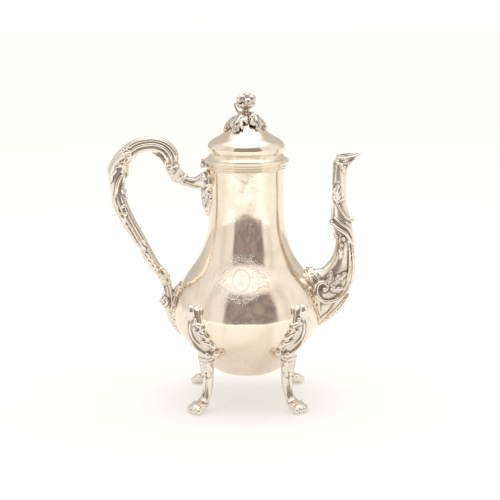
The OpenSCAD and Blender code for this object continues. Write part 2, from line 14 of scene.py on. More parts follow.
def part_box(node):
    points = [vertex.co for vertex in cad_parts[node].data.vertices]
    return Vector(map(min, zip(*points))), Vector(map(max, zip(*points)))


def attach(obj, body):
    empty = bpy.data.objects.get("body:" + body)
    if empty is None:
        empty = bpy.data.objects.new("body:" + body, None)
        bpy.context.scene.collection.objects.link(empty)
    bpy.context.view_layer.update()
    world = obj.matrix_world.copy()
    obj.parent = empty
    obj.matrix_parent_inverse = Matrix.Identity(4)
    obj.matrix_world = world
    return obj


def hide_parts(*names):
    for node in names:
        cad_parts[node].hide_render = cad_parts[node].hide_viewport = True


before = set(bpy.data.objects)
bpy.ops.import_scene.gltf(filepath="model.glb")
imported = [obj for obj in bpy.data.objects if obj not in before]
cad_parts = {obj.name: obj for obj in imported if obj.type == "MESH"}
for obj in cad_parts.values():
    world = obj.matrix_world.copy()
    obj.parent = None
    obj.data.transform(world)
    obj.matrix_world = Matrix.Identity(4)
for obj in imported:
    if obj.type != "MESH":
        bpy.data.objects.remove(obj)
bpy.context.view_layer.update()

MM = 0.001


def cad_box(node):
    """Lowest and highest corner of a CAD node, in millimetres."""
    low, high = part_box(node)
    return np.array(low) / MM, np.array(high) / MM


# ---- Sizes read from the frame ---------------------------------------------------------------

BODY_LOW, BODY_HIGH = cad_box("body_shell")
BELLY_R = 62.0
BASE_Z = BODY_LOW[2]
RIM_Z = BODY_HIGH[2]
COLLAR_R = cad_box("neck_collar")[1][0]
NECK_R = COLLAR_R - 2.6
SHEET_T = 0.9
BELLY_Z = BASE_Z + 52.0
SEAT_Z = cad_box("lid_rim")[0][2]
LID_R = cad_box("lid_rim")[1][0]
DOME_Z = cad_box("lid_dome")[0][2]
TOP_Z = cad_box("lid_dome")[1][2]
BEZEL_R = cad_box("lid_bezel")[1][0]
FOOT_R = 58.5
SPOUT_X = BELLY_R + 15.0


# ---- Curves and solids -----------------------------------------------------------------------

def near_curve(points, steps):
    """Smooth cubic near its control points, exact at both ends."""
    p = np.asarray(points, float)
    q = np.vstack([p[0], p[0], p, p[-1], p[-1]])
    t = np.arange(steps)[:, None] / steps
    weights = [(1 - t) ** 3, 3 * t ** 3 - 6 * t ** 2 + 4, -3 * t ** 3 + 3 * t ** 2 + 3 * t + 1, t ** 3]
    spans = [sum(w * q[i + k] for k, w in enumerate(weights)) / 6 for i in range(len(q) - 3)]
    return np.vstack(spans + [p[-1]])


def through_curve(stations, steps):
    """Smooth line through every station."""
    s = np.asarray(stations, float)
    q = np.vstack([s[0], s, s[-1]])
    t = np.arange(steps)[:, None] / steps
    spans = []
    for a, b, c, d in zip(q[:-3], q[1:-2], q[2:-1], q[3:]):
        spans.append(0.5 * (2 * b + (c - a) * t + (2 * a - 5 * b + 4 * c - d) * t ** 2
                            + (3 * b - 3 * c + d - a) * t ** 3))
    return np.vstack(spans + [s[-1]])


def unit(v):
    """Vectors of length one, along the last axis."""
    return v / np.maximum(np.linalg.norm(v, axis=-1, keepdims=True), 1e-9)


def loft(rings):
    """Closed solid through rings of points that run anticlockwise about the way they go."""
    rings = np.asarray(rings, float)
    m, n = rings.shape[:2]
    points = np.vstack([rings.reshape(-1, 3), rings[0].mean(0), rings[-1].mean(0)])
    j, i = np.meshgrid(np.arange(m - 1), np.arange(n), indexing="ij")
    k = (i + 1) % n
    sides = np.stack([j * n + i, j * n + k, (j + 1) * n + k, (j + 1) * n + i], -1).reshape(-1, 4)
    i = np.arange(n)
    k = (i + 1) % n
    first = np.stack([np.full(n, m * n), k, i], -1)
    last = np.stack([np.full(n, m * n + 1), (m - 1) * n + i, (m - 1) * n + k], -1)
    return points, sides.tolist() + first.tolist() + last.tolist()


def turned(outline, segments=256):
    """Solid of revolution about Z from a closed outline of [radius, height], anticlockwise."""
    outline = np.asarray(outline, float)
    m = len(outline)
    angle = np.arange(segments) * 2 * math.pi / segments
    r, z = outline[:, 0][:, None], outline[:, 1][:, None]
    points = np.stack([r * np.cos(angle), r * np.sin(angle), z + 0 * angle], -1).reshape(-1, 3)
    j, i = np.meshgrid(np.arange(m), np.arange(segments), indexing="ij")
    k, up = (i + 1) % segments, (j + 1) % m
    faces = np.stack([j * segments + i, j * segments + k, up * segments + k, up * segments + i], -1)
    return points, faces.reshape(-1, 4).tolist()


def path_frames(path):
    """Directions along a path and two across it, turned as little as possible."""
    ahead = unit(np.gradient(path, axis=0))
    start = np.array([0.0, 0, 1]) if abs(ahead[0][2]) < 0.9 else np.array([1.0, 0, 0])
    across = [unit(np.cross(start, ahead[0]))]
    for d in ahead[1:]:
        v = across[-1] - d * np.dot(across[-1], d)
        across.append(unit(v))
    across = np.array(across)
    return ahead, across, np.cross(ahead, across)


def wire(path, radius, sides=10):
    """Round wire along a path, with a radius at each point and rounded ends."""
    path = np.asarray(path, float)
    radius = np.broadcast_to(np.asarray(radius, float), (len(path),)).copy()
    ahead, a, b = path_frames(path)
    angle = np.arange(sides) * 2 * math.pi / sides
    rings = [path[i] + radius[i] * (np.cos(angle)[:, None] * a[i] + np.sin(angle)[:, None] * b[i])
             for i in range(len(path))]
    nose = path[-1] + ahead[-1] * radius[-1] * 0.6
    tail = path[0] - ahead[0] * radius[0] * 0.6
    rings = [tail + (rings[0] - path[0]) * 0.6] + rings + [nose + (rings[-1] - path[-1]) * 0.6]
    return loft(rings)


def bead(middle, radius, stretch=(1, 1, 1), rows=10):
    """Round bead, which may be stretched along the axes."""
    lat = np.linspace(-0.5, 0.5, rows + 1)[1:-1] * math.pi
    lon = np.arange(rows * 2) * math.pi / rows
    rings = [[[math.cos(a) * math.cos(o), math.cos(a) * math.sin(o), math.sin(a)] for o in lon]
             for a in lat]
    points, faces = loft(rings)
    points[-2] = [0, 0, -1]
    points[-1] = [0, 0, 1]
    return np.asarray(middle, float) + points * radius * np.asarray(stretch, float), faces


def moved(part, mapping):
    """A part with its points put through a mapping; faces turn over if it mirrors."""
    points, faces = part
    probe = mapping(np.eye(3)) - mapping(np.zeros((3, 3)))
    if np.linalg.det(probe) < 0:
        faces = [f[::-1] for f in faces]
    return mapping(points), faces


def joined(parts):
    """Many parts as one list of points and faces."""
    points, faces, start = [], [], 0
    for p, f in parts:
        points.append(p)
        faces += [[i + start for i in face] for face in f]
        start += len(p)
    return np.vstack(points), faces


# ---- Surfaces that ornament lies on ----------------------------------------------------------
# A surface takes (along, across, out) in millimetres, as arrays, and gives points.

def above(out, up):
    """Place on the outline above the belly: 0 to 1 from the neck out, and from the belly up."""
    return [NECK_R + out * (BELLY_R - NECK_R), BELLY_Z + up * (RIM_Z - BELLY_Z)]


def below(out, up):
    """Place on the outline below the belly: 0 to 1 from the middle out, and from the base up."""
    return [out * BELLY_R, BASE_Z + up * (BELLY_Z - BASE_Z)]


BODY_LINE = near_curve([above(0, 1), above(0, 0.86), above(0, 0.72), above(0.01, 0.595),
                        above(0.105, 0.485), above(0.3, 0.355), above(0.74, 0.23),
                        above(0.96, 0.1), below(1.03, 0.86), below(0.84, 0.52),
                        below(0.6, 0.255), below(0.42, 0), below(0.19, 0), below(0, 0)], 10)


def body_radius(z):
    """Outside radius of the body at a height."""
    side = BODY_LINE[BODY_LINE[:, 0] > 0.2 * BELLY_R][::-1]
    return np.interp(z, side[:, 1], side[:, 0])


def body_surface(z, side, out):
    """Point on the body at azimuth 0: height, way round to +Y, and distance out."""
    r = body_radius(z)
    return np.stack(np.broadcast_arrays((r + out) * np.cos(side / r), (r + out) * np.sin(side / r), z),
                    -1)


class Bar:
    """A bar swept in the XZ plane: stations are [x, z, width in plane, width in Y, edge]."""

    def __init__(self, stations, first=None, last=None):
        s = np.asarray(stations, float)
        self.middle = s[:, :2]
        self.wide = s[:, 2] / 2
        self.deep = s[:, 3] / 2
        self.edge = s[:, 4] if s.shape[1] > 4 else np.zeros(len(s))
        ahead = unit(np.gradient(self.middle, axis=0))
        if first is not None:
            ahead[0] = first
        if last is not None:
            ahead[-1] = last
        self.out = np.stack([ahead[:, 1], -ahead[:, 0]], -1)
        steps = np.linalg.norm(np.diff(self.middle, axis=0), axis=1)
        self.along = np.concatenate([[0], np.cumsum(steps)])
        self.length = self.along[-1]

    def at(self, u, angle, lift=0.0):
        """Point at a distance along, an angle from the outer line towards +Y, and a lift."""
        u, angle, lift = np.broadcast_arrays(np.asarray(u, float), angle, lift)
        pick = lambda v: np.interp(u, self.along, v)
        a, b, edge = pick(self.wide), pick(self.deep), pick(self.edge)
        ox, oz = pick(self.out[:, 0]), pick(self.out[:, 1])
        c, s = np.cos(angle), np.sin(angle)
        w = a * c
        y = b * s * (1 - edge * (1 + c) / 2)
        nw, ny = c / np.maximum(a, 0.1), s / np.maximum(b, 0.1)
        size = np.hypot(nw, ny)
        w, y = w + lift * nw / size, y + lift * ny / size
        return np.stack([pick(self.middle[:, 0]) + w * ox, y, pick(self.middle[:, 1]) + w * oz], -1)

    def surface(self, u, v, out):
        """As at(), with the way round given in millimetres."""
        girth = np.interp(u, self.along, (self.wide + self.deep) / 2)
        return self.at(u, v / girth, out)

    def rings(self, sides):
        """Rings along the bar, one at each station."""
        angle = np.arange(sides) * 2 * math.pi / sides
        return [self.at(u, angle) for u in self.along]


# ---- Chased ornament -------------------------------------------------------------------------

SUNK = 1.4      # how deep relief is rooted in the metal under it


def ridge(surface, path, radius, lift=0.2, steps=6):
    """A raised line along [along, across] places on a surface; it tapers with its radii."""
    path = through_curve(path, steps)
    radius = np.interp(np.linspace(0, 1, len(path)), np.linspace(0, 1, len(np.atleast_1d(radius))),
                       np.atleast_1d(radius))
    return wire(surface(path[:, 0], path[:, 1], lift * radius), radius, 8)


def spiral(middle, start_r, end_r, start_angle, turns, steps=14):
    """Places on a surface along a spiral that winds inwards, by turns (negative is clockwise)."""
    t = np.linspace(0, 1, int(steps * abs(turns)) + 2)
    r = start_r + (end_r - start_r) * t ** 0.8
    a = math.radians(start_angle) + t * turns * 2 * math.pi
    return np.stack([middle[0] + r * np.sin(a), middle[1] + r * np.cos(a)], -1)


def berry(surface, along, across, radius, lift=0.5):
    """A round berry on a surface."""
    return bead(surface(np.array(along), np.array(across), np.array(lift * radius)), radius, rows=8)


def leaf(surface, spine, half_width, height=1.4, lobes=5, curl=0.0, cut=0.45, side=0, rows=44):
    """An acanthus leaf with a midrib, lobes and veins, on a surface.

    spine is the leaf's middle line as [along, across] places. side 1 or -1 keeps the lobes on
    that side only. curl lifts the tip off the surface.
    """
    line = through_curve(spine, 12)
    place = np.linspace(0, len(line) - 1, rows)
    line = np.stack([np.interp(place, np.arange(len(line)), line[:, k]) for k in (0, 1)], -1)
    ahead = unit(np.gradient(line, axis=0))
    across = np.stack([-ahead[:, 1], ahead[:, 0]], -1)
    x = np.linspace(0, 1, rows)
    envelope = np.clip(np.sin(math.pi * np.clip(0.06 + 0.94 * x, 0, 1) ** 0.85), 0.03, 1) ** 0.8
    lobed = 1 - cut * (1 - np.abs(np.sin(math.pi * (x * lobes - 0.1))) ** 0.7)
    y = np.linspace(-1, 1, 13)
    top, bottom = [], []
    for i in range(rows):
        left = half_width * envelope[i] * (lobed[i] if side >= 0 else 1 - cut / 2)
        right = half_width * envelope[i] * (lobed[i] if side <= 0 else 1 - cut / 2)
        reach = np.where(y > 0, left * y, right * y)
        lean = 0.35 * np.abs(reach)
        place = line[i] + reach[:, None] * across[i] + lean[:, None] * ahead[i]
        dome = np.sqrt(np.clip(1 - y ** 2, 0, 1))
        vein = 0.5 + 0.5 * np.cos(2 * math.pi * (x[i] * lobes - 0.9 * np.abs(y) + 0.1))
        rib = 0.34 * np.exp(-(y / 0.2) ** 2)
        groove = -0.22 * np.exp(-((np.abs(y) - 0.36) / 0.18) ** 2)
        shape = 0.45 + 0.45 * dome + 0.16 * vein * np.abs(y) + rib + groove
        rise = height * envelope[i] ** 0.5 * shape
        rise = rise * np.where(np.abs(y) > 0.99, 0.35, 1) + curl * x[i] ** 3
        top.append(surface(place[:, 0], place[:, 1], rise))
        floor = curl * x[i] ** 3 - SUNK * (0.5 + 0.5 * (1 - min(curl, 1) * x[i]))
        bottom.append(surface(place[:, 0], place[:, 1], np.full(len(y), floor)))
    rings = np.array([np.vstack([t, b[::-1]]) for t, b in zip(top, bottom)])
    points, faces = loft(rings)
    if signed_volume(points, faces) < 0:
        faces = [f[::-1] for f in faces]
    return points, faces


def signed_volume(points, faces):
    """Six times the volume; negative if the faces look inward."""
    total = 0.0
    for f in faces:
        a = points[f[0]]
        for b, c in zip(f[1:-1], f[2:]):
            total += np.dot(a, np.cross(points[b], points[c]))
    return total


# ---- Meshes ----------------------------------------------------------------------------------

def new_object(name, points, faces):
    mesh = bpy.data.meshes.new(name)
    mesh.from_pydata((np.asarray(points) * MM).tolist(), [], faces)
    mesh.update()
    mesh.shade_smooth()
    piece = bpy.data.objects.new(name, mesh)
    bpy.context.scene.collection.objects.link(piece)
    return piece


def mesh_arrays(mesh):
    points = np.zeros(len(mesh.vertices) * 3)
    mesh.vertices.foreach_get("co", points)
    edges = np.zeros(len(mesh.edges) * 2, int)
    mesh.edges.foreach_get("vertices", edges)
    return points.reshape(-1, 3), edges.reshape(-1, 2)


def neighbour_mean(values, edges, count):
    total = np.zeros_like(values)
    for k in range(values.shape[1]):
        total[:, k] = (np.bincount(edges[:, 0], values[edges[:, 1], k], len(values))
                       + np.bincount(edges[:, 1], values[edges[:, 0], k], len(values)))
    return total / count[:, None]


def mark_recesses(piece, rounds=(14, 60)):
    """Stores how far each point lies in a hollow, which the old polish never reaches."""
    mesh = piece.data
    points, edges = mesh_arrays(mesh)
    count = np.maximum(np.bincount(edges.ravel(), minlength=len(points)), 1)
    normals = np.zeros(len(points) * 3)
    mesh.vertices.foreach_get("normal", normals)
    normals = normals.reshape(-1, 3)
    smooth, depth, done = points.copy(), np.zeros(len(points)), 0
    for stop in rounds:
        for _ in range(stop - done):
            smooth = neighbour_mean(smooth, edges, count)
        done = stop
        depth += ((smooth - points) * normals).sum(1) / MM
    depth = neighbour_mean(depth[:, None], edges, count)[:, 0]
    layer = mesh.attributes.new("recess", "FLOAT", "POINT")
    layer.data.foreach_set("value", np.clip(0.5 + depth * 1.1, 0, 1).astype(np.float32))


def cast(name, parts, grain=0.4, smoothing=10, marked=True):
    """Fuses overlapping parts into one casting with soft hollows, as it leaves the mould."""
    rough = new_object(name + "_pattern", *joined(parts))
    fuse = rough.modifiers.new("fuse", "REMESH")
    fuse.mode = "VOXEL"
    fuse.voxel_size = grain * MM
    fuse.use_smooth_shade = True
    depsgraph = bpy.context.evaluated_depsgraph_get()
    mesh = bpy.data.meshes.new_from_object(rough.evaluated_get(depsgraph))
    bpy.data.objects.remove(rough)
    mesh.name = name
    points, edges = mesh_arrays(mesh)
    count = np.maximum(np.bincount(edges.ravel(), minlength=len(points)), 1)
    for _ in range(smoothing):
        for pull in (0.5, -0.53):
            points += pull * (neighbour_mean(points, edges, count) - points)
    mesh.vertices.foreach_set("co", points.ravel())
    mesh.update()
    mesh.shade_smooth()
    piece = bpy.data.objects.new(name, mesh)
    bpy.context.scene.collection.objects.link(piece)
    if marked:
        mark_recesses(piece)
    return piece


# ---- Sheet work: body, collar and lid --------------------------------------------------------

def inward(line, by):
    """An outline moved inward by the thickness of the sheet."""
    d = unit(np.gradient(line, axis=0))
    moved_line = line + by * np.stack([d[:, 1], -d[:, 0]], -1)
    moved_line[:, 0] = np.maximum(moved_line[:, 0], 0)
    return moved_line


def planished(points, depth, size, seed):
    """Points pushed in and out a little, as a hammer leaves raised sheet."""
    shift = Vector((seed, seed * 2.0, seed * 3.0))
    waves = np.array([noise.noise(Vector(p) / size + shift) for p in points])
    flat = np.hypot(points[:, 0], points[:, 1])[:, None]
    ways = np.where(flat > 1, points[:, :2] / np.maximum(flat, 1), 0)
    points = points.copy()
    points[:, :2] += ways * waves[:, None] * depth
    return points


def make_body():
    outer = BODY_LINE[::-1]
    inner = inward(BODY_LINE, SHEET_T)
    inner[-1] = [0, BASE_Z + SHEET_T]
    inner[0] = [NECK_R - SHEET_T, RIM_Z]
    rings = np.vstack([outer[1:], inner[:-1]])
    angle = np.arange(256) * 2 * math.pi / 256
    rings = np.stack([rings[:, :1] * np.cos(angle), rings[:, :1] * np.sin(angle),
                      rings[:, 1:] + 0 * angle], -1)
    points, faces = loft(rings)
    points[-2] = [0, 0, BASE_Z]
    points[-1] = [0, 0, BASE_Z + SHEET_T]
    fade = np.clip((RIM_Z - points[:, 2]) / 25, 0, 1)[:, None]
    points = points + fade * (planished(points, 0.09, 30.0, 3.1) - points)
    points = points + fade * (planished(points, 0.02, 11.0, 7.7) - points)
    return new_object("raised_body", points, faces)


def rounded(outline, reach=0.35):
    """A closed outline with each corner eased by a short chamfer."""
    outline = np.asarray(outline, float)
    result = []
    for a, b, c in zip(np.roll(outline, 1, 0), outline, np.roll(outline, -1, 0)):
        for other in (a, c):
            gap = np.linalg.norm(other - b)
            result.append(b + (other - b) * min(reach / gap, 0.33))
    return np.array(result)


def reeds(start, end, count, depth):
    """Half-round reeds stacked between two outline points, bulging to the right of the way."""
    start, end = np.asarray(start, float), np.asarray(end, float)
    way = unit(end - start)
    out = np.array([way[1], -way[0]])
    t = np.linspace(0, count, count * 7 + 1)[:, None]
    return start + (end - start) * t / count + out * depth * np.abs(np.sin(math.pi * t)) ** 0.7


def make_collar():
    low = RIM_Z - 5.8
    outline = np.vstack([[[NECK_R - 0.3, low], [NECK_R + 0.8, low]],
                         reeds([NECK_R + 0.9, low + 0.1], [NECK_R + 1.2, low + 1.7], 1, 0.7),
                         reeds([NECK_R + 1.3, low + 1.9], [NECK_R + 1.5, low + 3.9], 1, 0.95),
                         reeds([NECK_R + 1.7, low + 4.1], [NECK_R + 2.2, RIM_Z - 0.1], 1, 0.4),
                         [[NECK_R + 2, RIM_Z], [NECK_R - 0.3, RIM_Z]]])
    return new_object("reeded_collar", *turned(outline))


def make_lid_rim():
    z = SEAT_Z
    r = LID_R
    outline = np.vstack([[[BEZEL_R, z], [r - 0.4, z]],
                         reeds([r - 0.3, z + 0.05], [r - 0.45, z + 1.35], 1, 0.35),
                         reeds([r - 0.8, z + 1.4], [r - 1.3, z + 2.5], 1, 0.42),
                         near_curve([[r - 1.5, z + 2.6], [r - 2.7, z + 3.3], [r - 3.9, z + 4.6],
                                     [r - 4.7, z + 6.2]], 5),
                         [[r - 4.9, z + 6.5], [BEZEL_R + 1.05, z + 6.6], [BEZEL_R + 0.9, DOME_Z],
                          [BEZEL_R, DOME_Z]]])
    return new_object("lid_rim_moulding", *turned(outline))


def make_lid_bezel():
    r = BEZEL_R
    low = cad_box("lid_bezel")[0][2]
    outline = rounded([[r - SHEET_T, low], [r - 0.2, low], [r, low + 0.8], [r, SEAT_Z + 4],
                       [r - SHEET_T, SEAT_Z + 4]], 0.2)
    return new_object("lid_bezel_ring", *turned(outline, 192))


def dome_at(out, up):
    """Place on the dome's outline: 0 to 1 from the middle out, and from the rim up."""
    return [out * (BEZEL_R + 1), DOME_Z + up * (TOP_Z - DOME_Z)]


DOME_LINE = near_curve([dome_at(1, 0), dome_at(1.045, 0.06), dome_at(1.07, 0.18),
                        dome_at(0.99, 0.34), dome_at(0.81, 0.43), dome_at(0.63, 0.54),
                        dome_at(0.46, 0.7), dome_at(0.3, 0.87), dome_at(0.2, 0.97),
                        dome_at(0.16, 1), dome_at(0.1, 1)], 10)
STUD_HOLE_R = 1.58


def dome_height(r):
    line = DOME_LINE[DOME_LINE[:, 1] > dome_at(0, 0.25)[1]][::-1]
    return np.interp(r, line[:, 0], line[:, 1])


def make_dome():
    outer = np.vstack([DOME_LINE[:-1], [[STUD_HOLE_R, TOP_Z]]])
    way = unit(np.gradient(outer, axis=0))
    inner = outer + np.stack([-way[:, 1], way[:, 0]], -1) * SHEET_T
    inner[0] = outer[0] - [SHEET_T, 0]
    inner[-1] = outer[-1] - [0, SHEET_T]
    points, faces = turned(np.vstack([outer, inner[::-1]]))
    fade = np.clip((points[:, 2] - DOME_Z) / 6, 0, 1)[:, None]
    points = points + fade * (planished(points, 0.09, 13.0, 5.5) - points)
    return new_object("lid_raised_dome", points, faces)


# ---- Castings on the body --------------------------------------------------------------------

SEAT_GAP = 0.25     # how far a casting reaches under the body's surface


def on_left(part):
    """The same ornament on the other flank."""
    return moved(part, lambda p: p * np.array([1.0, -1.0, 1.0]))


def turned_to_back(part):
    """Ornament laid out at azimuth 0, moved to the handle's side."""
    return moved(part, lambda p: p * np.array([-1.0, 1.0, 1.0]))


def both_flanks(parts):
    return parts + [on_left(p) for p in parts]


def body_solid():
    """The body's outside as a plain solid, which castings are filed to fit."""
    outline = np.vstack([BODY_LINE[::-1][1:] - [SEAT_GAP, 0], [[1, RIM_Z]]])
    angle = np.arange(192) * 2 * math.pi / 192
    rings = np.stack([outline[:, :1] * np.cos(angle), outline[:, :1] * np.sin(angle),
                      outline[:, 1:] + 0 * angle], -1)
    return loft(rings)


def cut_away(piece, points, faces):
    """A piece without what lies inside a closed solid."""
    cutter = new_object("cutter", points, faces)
    cut = piece.modifiers.new("cut", "BOOLEAN")
    cut.operation = "DIFFERENCE"
    cut.solver = "MANIFOLD"
    cut.object = cutter
    depsgraph = bpy.context.evaluated_depsgraph_get()
    mesh = bpy.data.meshes.new_from_object(piece.evaluated_get(depsgraph))
    whole = piece.data
    piece.modifiers.clear()
    piece.data = mesh
    mesh.name = piece.name
    bpy.data.meshes.remove(whole)
    bpy.data.objects.remove(cutter)
    return piece


def filed_to_body(piece):
    """Cuts away what lies inside the body, so that a casting seats on it."""
    return cut_away(piece, *body_solid())


def flank(bar):
    """A surface over the flank of a bar towards -Y, from [x, z] places."""
    steps = np.linspace(0, bar.length, 500)
    pick = lambda v: np.interp(steps, bar.along, v)
    middle = np.stack([pick(bar.middle[:, 0]), pick(bar.middle[:, 1])], -1)
    out = unit(np.stack([pick(bar.out[:, 0]), pick(bar.out[:, 1])], -1))
    wide, deep, edge = pick(bar.wide), pick(bar.deep), pick(bar.edge)

    def surface(x, z, lift):
        x, z, lift = np.broadcast_arrays(np.asarray(x, float), z, lift)
        place = np.stack([x, z], -1)
        k = ((place[..., None, :] - middle) ** 2).sum(-1).argmin(-1)
        share = ((place - middle[k]) * out[k]).sum(-1) / wide[k]
        kept = np.clip(share, -0.96, 0.96)
        place = place - out[k] * ((share - kept) * wide[k] * 0.5)[..., None]
        depth = deep[k] * np.sqrt(1 - kept ** 2) * (1 - edge[k] * (1 + kept) / 2)
        sideways = kept / wide[k]
        forward = np.sqrt(1 - kept ** 2) / deep[k]
        size = np.hypot(sideways, forward)
        place = place + out[k] * (lift * sideways / size)[..., None]
        return np.stack([place[..., 0], -(depth + lift * forward / size), place[..., 1]], -1)
    return surface


def reeding(bar, start, end, angles, radius, lift):
    """Parallel mouldings along a bar, fading at both ends."""
    count = 40
    u = np.linspace(start, end, count) * bar.length
    fade = np.clip(np.sin(np.linspace(0, math.pi, count)) * 2.5, 0.1, 1)
    return [wire(bar.at(u, math.radians(a), lift), radius * fade, 8) for a in angles]


# ---- Spout -----------------------------------------------------------------------------------

ROOT_Z = BELLY_Z + 7
LIP_Z = RIM_Z + 6.8
SPOUT_T = 1.2
# [x of the inner edge, its height, x of the outer edge, its height, width in Y, edge]
SPOUT = [[-33, 22, -37, -20.5, 27, 0], [-25, 22.5, -24, -21.5, 27, 0], [-19, 22.5, -15, -16, 26, 0.1],
         [-14, 23.5, -7, -10.5, 25, 0.2], [-9.5, 26.5, 1, -1.5, 23, 0.3], [-5.5, 31.5, 9, 10, 20.5, 0.3],
         [-3.5, 38.5, 12.8, 22, 18, 0.3], [-3.1, 43.5, 13.6, 35, 16.5, 0.25],
         [-4.5, 49, 12.6, 45, 15.2, 0.2], [-6, 55, 10.6, 54, 14.4, 0.15],
         [-6.3, 63, 7.6, 62, 13, 0.15], [-6.3, 70, 6, 70, 12.4, 0.2], [-6.1, 79.5, 5.7, 79.5, 12.4, 0.3],
         [-5.2, 89, 7.3, 89, 12.6, 0.5], [-3.8, 94.5, 13, 95.3, 12.8, 0.75],
         [-1.9, 98.6, 20.3, 100.5, 11.6, 0.93]]


def spout_bar(wall=0.0):
    s = through_curve(SPOUT, 6)
    height = lambda percent: ROOT_Z + percent / 100 * (LIP_Z - ROOT_Z)
    a = np.stack([SPOUT_X + s[:, 0], height(s[:, 1])], -1)
    b = np.stack([SPOUT_X + s[:, 2], height(s[:, 3])], -1)
    middle = (a + b) / 2
    across = np.linalg.norm(b - a, axis=1)
    bar = Bar(np.column_stack([middle, across - 2 * wall, s[:, 4] - 2 * wall, s[:, 5]]))
    bar.out = (b - a) / across[:, None]
    return bar


def make_spout():
    bar = spout_bar()
    outer = np.array(bar.rings(72))
    inner = np.array(spout_bar(SPOUT_T).rings(72))
    rise = inner[-1] + [0, 0, 2.5]
    channel = np.concatenate([inner, rise[None]])
    side = flank(bar)
    x0 = SPOUT_X
    work = [
        # Mouth: a rolled lip, and a line under it
        ridge(side, [[x0 - 2.2, 206.5], [x0 + 5, 206.4], [x0 + 12, 207.4], [x0 + 18.4, 209.8]],
              [0.5, 0.6, 0.6, 0.4], 0.3),
        ridge(side, [[x0 - 3.6, 202.5], [x0 + 2.5, 201.2], [x0 + 8.6, 202.6], [x0 + 13.6, 206]],
              [0.35, 0.5, 0.5, 0.3], 0.3),
        # Upright corner along the inner edge
        ridge(side, [[x0 - 4.3, 204], [x0 - 5, 190], [x0 - 5.2, 172], [x0 - 6, 153]],
              [0.4, 0.7, 0.9, 0.9], 0.1),
        # Drops under the lip
        berry(side, x0 + 1.5, 200, 1.0), berry(side, x0 + 4, 198.8, 1.15),
        berry(side, x0 + 7, 200.4, 1.0), berry(side, x0 + 10, 203, 0.9),
        leaf(side, [[x0 + 1.5, 200.5], [x0 + 3.4, 197.4], [x0 + 3.6, 193.6]], 1.8, 1.0, 2, 0.3, rows=24),
        # Small acanthus with its ribbon
        leaf(side, [[x0 - 1.5, 170], [x0 - 2.0, 178], [x0 - 0.8, 187]], 3.4, 1.6, 3, 0.4),
        ridge(side, [[x0 - 5.2, 172.6], [x0 - 1, 170.2], [x0 + 4.6, 172.4]], [0.8, 1.1, 0.8], 0.3),
        # Ribbon down to the knob on the outer edge
        ridge(side, [[x0 - 2.4, 169.4], [x0 + 1.6, 162.5], [x0 + 5.4, 157], [x0 + 9.6, 154]],
              [1.0, 1.4, 1.5, 1.2], 0.2),
        berry(side, x0 + 9.4, 154.4, 2.3), berry(side, x0 - 5.2, 152, 2.0),
        # Double band of the scroll that crosses down to the outer edge
        ridge(side, [[x0 - 6, 152.4], [x0 - 1, 147.6], [x0 + 5.4, 143], [x0 + 10.8, 134]],
              [1.2, 1.7, 1.8, 0.9], 0.2),
        ridge(side, [[x0 - 4, 156.4], [x0 + 1.6, 151.6], [x0 + 7.2, 147.4], [x0 + 11, 140]],
              [0.8, 1.2, 1.3, 0.7], 0.2),
        berry(side, x0 - 2.0, 140.6, 1.9), berry(side, x0 + 3.4, 138.9, 1.9),
        berry(side, x0 + 1.8, 133.8, 1.8),
        leaf(side, [[x0 + 0.6, 132], [x0 + 1.4, 127.4], [x0 + 0.6, 122.6]], 2.0, 1.1, 2, 0.2, rows=24),
        # Long ridges along the outer edge
        ridge(side, [[x0 + 10.4, 136], [x0 + 12, 121], [x0 + 11.4, 106], [x0 + 7.4, 94]],
              [0.9, 1.5, 1.6, 0.9], 0.1),
        ridge(side, [[x0 + 7.4, 138], [x0 + 8.8, 127], [x0 + 8.6, 114], [x0 + 6.4, 103]],
              [0.6, 1.0, 1.1, 0.6], 0.1),
        # Scroll at the root, which turns under the panel and up the outer edge
        ridge(side, [[x0 - 10.4, 96], [x0 - 10, 99.8], [x0 - 13.6, 102.6], [x0 - 18.4, 100],
                     [x0 - 18.6, 92.6], [x0 - 12.6, 86.6], [x0 - 2, 87.8], [x0 + 6, 94.4],
                     [x0 + 10, 104]], [1.3, 1.5, 1.7, 1.9, 2.0, 1.9, 1.7, 1.4, 0.7], 0.3),
        berry(side, x0 - 12.4, 96.6, 2.2),
        # Its leaf, in three parts
        leaf(side, [[x0 - 9.6, 100], [x0 - 7.4, 105.6], [x0 - 6.6, 112]], 3.4, 1.9, 3, 0.5, rows=52),
        leaf(side, [[x0 - 8.6, 99.4], [x0 - 1.4, 104.4], [x0 + 6.2, 111]], 3.8, 2.1, 3, 0.5, rows=60),
        leaf(side, [[x0 - 8, 97.6], [x0 - 2, 96.4], [x0 + 3.4, 98]], 3.2, 1.8, 3, 0.5, rows=48),
        # Seam ridge down the body, leaf above it, and the serrated lower edge
        ridge(side, [[x0 - 25, 110], [x0 - 20.4, 98], [x0 - 17, 84], [x0 - 17.8, 70], [x0 - 21, 60]],
              [1.0, 1.3, 1.3, 1.2, 0.7], 0.15),
        leaf(side, [[x0 - 16, 103], [x0 - 21, 109], [x0 - 28, 114.6]], 3.0, 1.4, 4, 0.2),
        leaf(side, [[x0 + 8.4, 92], [x0 + 1, 81.6], [x0 - 8, 73], [x0 - 17, 66]], 3.0, 1.4, 10, 0.2,
             side=1, rows=90),
    ]
    solid = cast("cast_spout", [loft(outer)] + both_flanks(work), 0.36, marked=False)
    return filed_to_body(cut_away(solid, *loft(channel)))


# ---- Legs ------------------------------------------------------------------------------------

